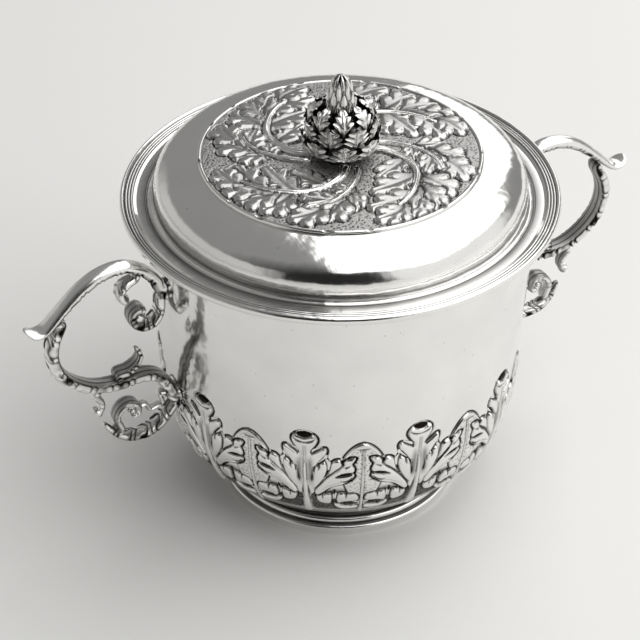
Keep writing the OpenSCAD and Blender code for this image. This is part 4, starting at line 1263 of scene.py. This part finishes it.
def add_room(scene, stage, right, forward):
    """World of plain walls: grey, but dim behind the camera, light low at the left and white at the right."""
    world = bpy.data.worlds.new("soft_room")
    world.use_nodes = True
    tree = world.node_tree
    way = add_node(tree, "TexCoord", "Generated", {})
    up = Vector((0, 0, 1))

    def toward(direction, low, high):
        dot = add_node(tree, "VectorMath", "Value", {0: way, 1: direction}, operation="DOT_PRODUCT")
        return add_node(tree, "MapRange", "Result", {"Value": dot, "From Min": low, "From Max": high})

    near = toward(-forward, 0.25, 0.85)
    low_left = add_node(tree, "Math", "Value", {0: toward(-right, 0.5, 0.75), 1: toward(-up, -0.38, -0.28)},
                        operation="MULTIPLY")
    window = toward((right - 0.36 * forward + 0.3 * up).normalized(), 0.68, 0.8)
    tint = stage.wall_far
    for part, wall in ((near, stage.wall_near), (low_left, stage.wall_left), (window, stage.wall_right)):
        tint = add_node(tree, "Mix", "Result", {"Factor": part, "A": tint, "B": wall}, data_type="RGBA")
    tree.links.new(tint, tree.nodes["Background"].inputs["Color"])
    scene.world = world


def add_softbox(scene, name, place, turn, power, width, depth):
    """Rectangular lamp at a place, which shines along its own -Z."""
    data = bpy.data.lights.new(name, "AREA")
    data.shape = "RECTANGLE"
    data.energy, data.size, data.size_y = power, width, depth
    lamp = bpy.data.objects.new(name, data)
    lamp.location = place
    lamp.rotation_mode = "QUATERNION"
    lamp.rotation_quaternion = turn
    scene.collection.objects.link(lamp)


def add_camera(scene, stage, aim, back):
    """Camera at a distance from its aim."""
    camera = bpy.data.objects.new("camera", bpy.data.cameras.new("camera"))
    camera.data.lens = stage.lens
    camera.data.sensor_width = 36
    camera.data.clip_start, camera.data.clip_end = 0.01, 20
    camera.location = aim + back * stage.distance
    camera.rotation_mode = "QUATERNION"
    camera.rotation_quaternion = back.to_track_quat("Z", "Y")
    scene.collection.objects.link(camera)
    scene.camera = camera


# Operators


class CUP_OT_body(bpy.types.Operator):
    """Build the raised wall of the cup and its turned foot"""
    bl_idname = "caudle_cup.body"
    bl_label = "Cup and Foot"

    def execute(self, context):
        group = context.scene.caudle_cup
        cup = sizes(group.cup)
        finish = polished_silver(group.looks)
        skin, tarnish = turned(*cup_profile(cup, sizes(group.band)))
        add_piece("cup_wall", "cup", "polished_silver", finish, skin, ["cup_body"], tarnish=tarnish)
        skin, tarnish = turned(*foot_profile(cup))
        add_piece("foot_moulding", "cup", "polished_silver", finish, skin, ["foot_ring"], tarnish=tarnish)
        return {"FINISHED"}


class CUP_OT_leaf_band(bpy.types.Operator):
    """Build the band of chased leaves round the belly"""
    bl_idname = "caudle_cup.leaf_band"
    bl_label = "Leaf Band"

    def execute(self, context):
        group = context.scene.caudle_cup
        finish = chased_silver(group.looks)
        for side, (skin, layers) in zip("ab", leaf_band(sizes(group.cup), sizes(group.band))):
            add_piece(f"leaf_band_{side}", "cup", "chased_silver", finish, skin, crease=75, **layers)
        return {"FINISHED"}


class CUP_OT_handles(bpy.types.Operator):
    """Build the pieces of the two cast handles"""
    bl_idname = "caudle_cup.handles"
    bl_label = "Handles"

    def execute(self, context):
        group = context.scene.caudle_cup
        handle = sizes(group.handle)
        finish = cast_silver(group.looks)
        forms = handle_forms(handle)
        for name, line in handle_lines(sizes(group.cup), handle).items():
            (points, faces), tarnish = strap(line, forms[name])
            for side, sign in HANDLE_SIDES:
                skin = (points * (sign, sign, 1), faces)
                add_piece(f"{side}_{name}_cast", "cup", "cast_silver", finish, skin, [f"{side}_{name}"],
                          crease=60, tarnish=tarnish)
        return {"FINISHED"}


class CUP_OT_cover(bpy.types.Operator):
    """Build the raised shell of the cover and its reeded rim"""
    bl_idname = "caudle_cup.cover"
    bl_label = "Cover"

    def execute(self, context):
        group = context.scene.caudle_cup
        cover = sizes(group.cover)
        finish = polished_silver(group.looks)
        skin, tarnish = turned(*dome_profile(cover))
        add_piece("cover_shell", "cover", "polished_silver", finish, skin, ["cover_dome"], tarnish=tarnish)
        skin, tarnish = turned(*rim_profile(cover))
        add_piece("cover_reeds", "cover", "polished_silver", finish, skin, ["cover_rim"], crease=50,
                  tarnish=tarnish)
        return {"FINISHED"}


class CUP_OT_rosette(bpy.types.Operator):
    """Build the chased disc of swirling fronds on the cover"""
    bl_idname = "caudle_cup.rosette"
    bl_label = "Rosette"

    def execute(self, context):
        group = context.scene.caudle_cup
        finish = chased_silver(group.looks)
        skin, layers = rosette(sizes(group.cover))
        add_piece("rosette_chasing", "cover", "chased_silver", finish, skin, ["cover_rosette"], crease=75,
                  **layers)
        return {"FINISHED"}


class CUP_OT_finial(bpy.types.Operator):
    """Build the cast bud on the cover: calyx, two rows of leaves and the cone"""
    bl_idname = "caudle_cup.finial"
    bl_label = "Finial"

    def execute(self, context):
        group = context.scene.caudle_cup
        finial = sizes(group.finial)
        finish = cast_silver(group.looks)
        rim = finial.base + finial.calyx
        half_step = np.pi / finial.leaves

        def row(leaf, ground, turn):
            return leaf_row(bud_leaf(ground, **leaf), finial.leaves, turn)

        core, core_dark = calyx_core(finial)
        skirt, skirt_dark = row(CALYX_LEAF, finial.base, half_step)
        pieces = {
            "calyx": (joined([core, skirt]), np.concatenate([core_dark, skirt_dark])),
            "lower_leaves": row(LOWER_LEAF, rim, 0.0),
            "upper_leaves": row(UPPER_LEAF, rim, half_step),
            "cone": cone(finial),
        }
        for name, (skin, tarnish) in pieces.items():
            add_piece(f"{name}_cast", "cover", "cast_silver", finish, skin, [f"finial_{name}"],
                      crease=60, tarnish=tarnish)
        return {"FINISHED"}


class CUP_OT_fixings(bpy.types.Operator):
    """Give the plain turned fixings of the cover their finish"""
    bl_idname = "caudle_cup.fixings"
    bl_label = "Fixings"

    def execute(self, context):
        finish = polished_silver(context.scene.caudle_cup.looks)
        for name in ("cover_bezel", "finial_stud", "finial_nut"):
            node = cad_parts[name]
            node.data.materials.clear()
            node.data.materials.append(finish)
        return {"FINISHED"}


class CUP_OT_stage(bpy.types.Operator):
    """Set the floor, the soft light and the camera"""
    bl_idname = "caudle_cup.stage"
    bl_label = "Stage"

    def execute(self, context):
        scene = context.scene
        stage = scene.caudle_cup.stage
        scene.view_settings.view_transform = "Standard"
        right = Vector((np.cos(stage.azimuth), np.sin(stage.azimuth), 0))
        back = Vector((np.sin(stage.azimuth) * np.cos(stage.elevation),
                       -np.cos(stage.azimuth) * np.cos(stage.elevation), np.sin(stage.elevation)))
        forward = Vector((-back.x, -back.y, 0)).normalized()
        aim = Vector((0, 0, stage.aim_height)) - stage.aim_left * right
        overhead = 1.0 * right + Vector((0, 0, 1.35))
        behind = 0.5 * right + 1.5 * forward + Vector((0, 0, 0.75))

        add_floor(scene, stage.floor)
        add_room(scene, stage, right, forward)
        add_softbox(scene, "ceiling_softbox", overhead, Quaternion((0, 0, 1), stage.azimuth), stage.key,
                    width=2.2, depth=3.0)
        add_softbox(scene, "rear_softbox", behind, (behind - aim).to_track_quat("Z", "Y"), stage.rear,
                    width=0.7, depth=1.0)
        add_camera(scene, stage, aim, back)
        return {"FINISHED"}


class CUP_PT_panel(bpy.types.Panel):
    """Sidebar panel with the steps and their settings"""
    bl_idname = "CUP_PT_panel"
    bl_label = "Caudle Cup"
    bl_space_type = "VIEW_3D"
    bl_region_type = "UI"
    bl_category = "Caudle Cup"

    def draw(self, context):
        settings = context.scene.caudle_cup
        for step in STEPS:
            self.layout.operator(step.bl_idname)
        for key in CaudleCup.__annotations__:
            box = self.layout.box()
            group = getattr(settings, key)
            box.label(text=CaudleCup.bl_rna.properties[key].name)
            for name in type(group).__annotations__:
                box.prop(group, name)


STEPS = (CUP_OT_body, CUP_OT_leaf_band, CUP_OT_handles, CUP_OT_cover, CUP_OT_rosette, CUP_OT_finial,
         CUP_OT_fixings, CUP_OT_stage)
CLASSES = (CupSizes, BandSizes, HandleSizes, CoverSizes, FinialSizes, SilverLooks, StageLooks, CaudleCup,
           *STEPS, CUP_PT_panel)


def register():
    for cls in CLASSES:
        bpy.utils.register_class(cls)
    bpy.types.Scene.caudle_cup = bpy.props.PointerProperty(type=CaudleCup)


def unregister():
    del bpy.types.Scene.caudle_cup
    for cls in reversed(CLASSES):
        bpy.utils.unregister_class(cls)


def main():
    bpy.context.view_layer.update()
    register()
    bpy.ops.caudle_cup.body()
    bpy.ops.caudle_cup.leaf_band()
    bpy.ops.caudle_cup.handles()
    bpy.ops.caudle_cup.cover()
    bpy.ops.caudle_cup.rosette()
    bpy.ops.caudle_cup.finial()
    bpy.ops.caudle_cup.fixings()
    bpy.ops.caudle_cup.stage()


if __name__ == "__main__":
    main()
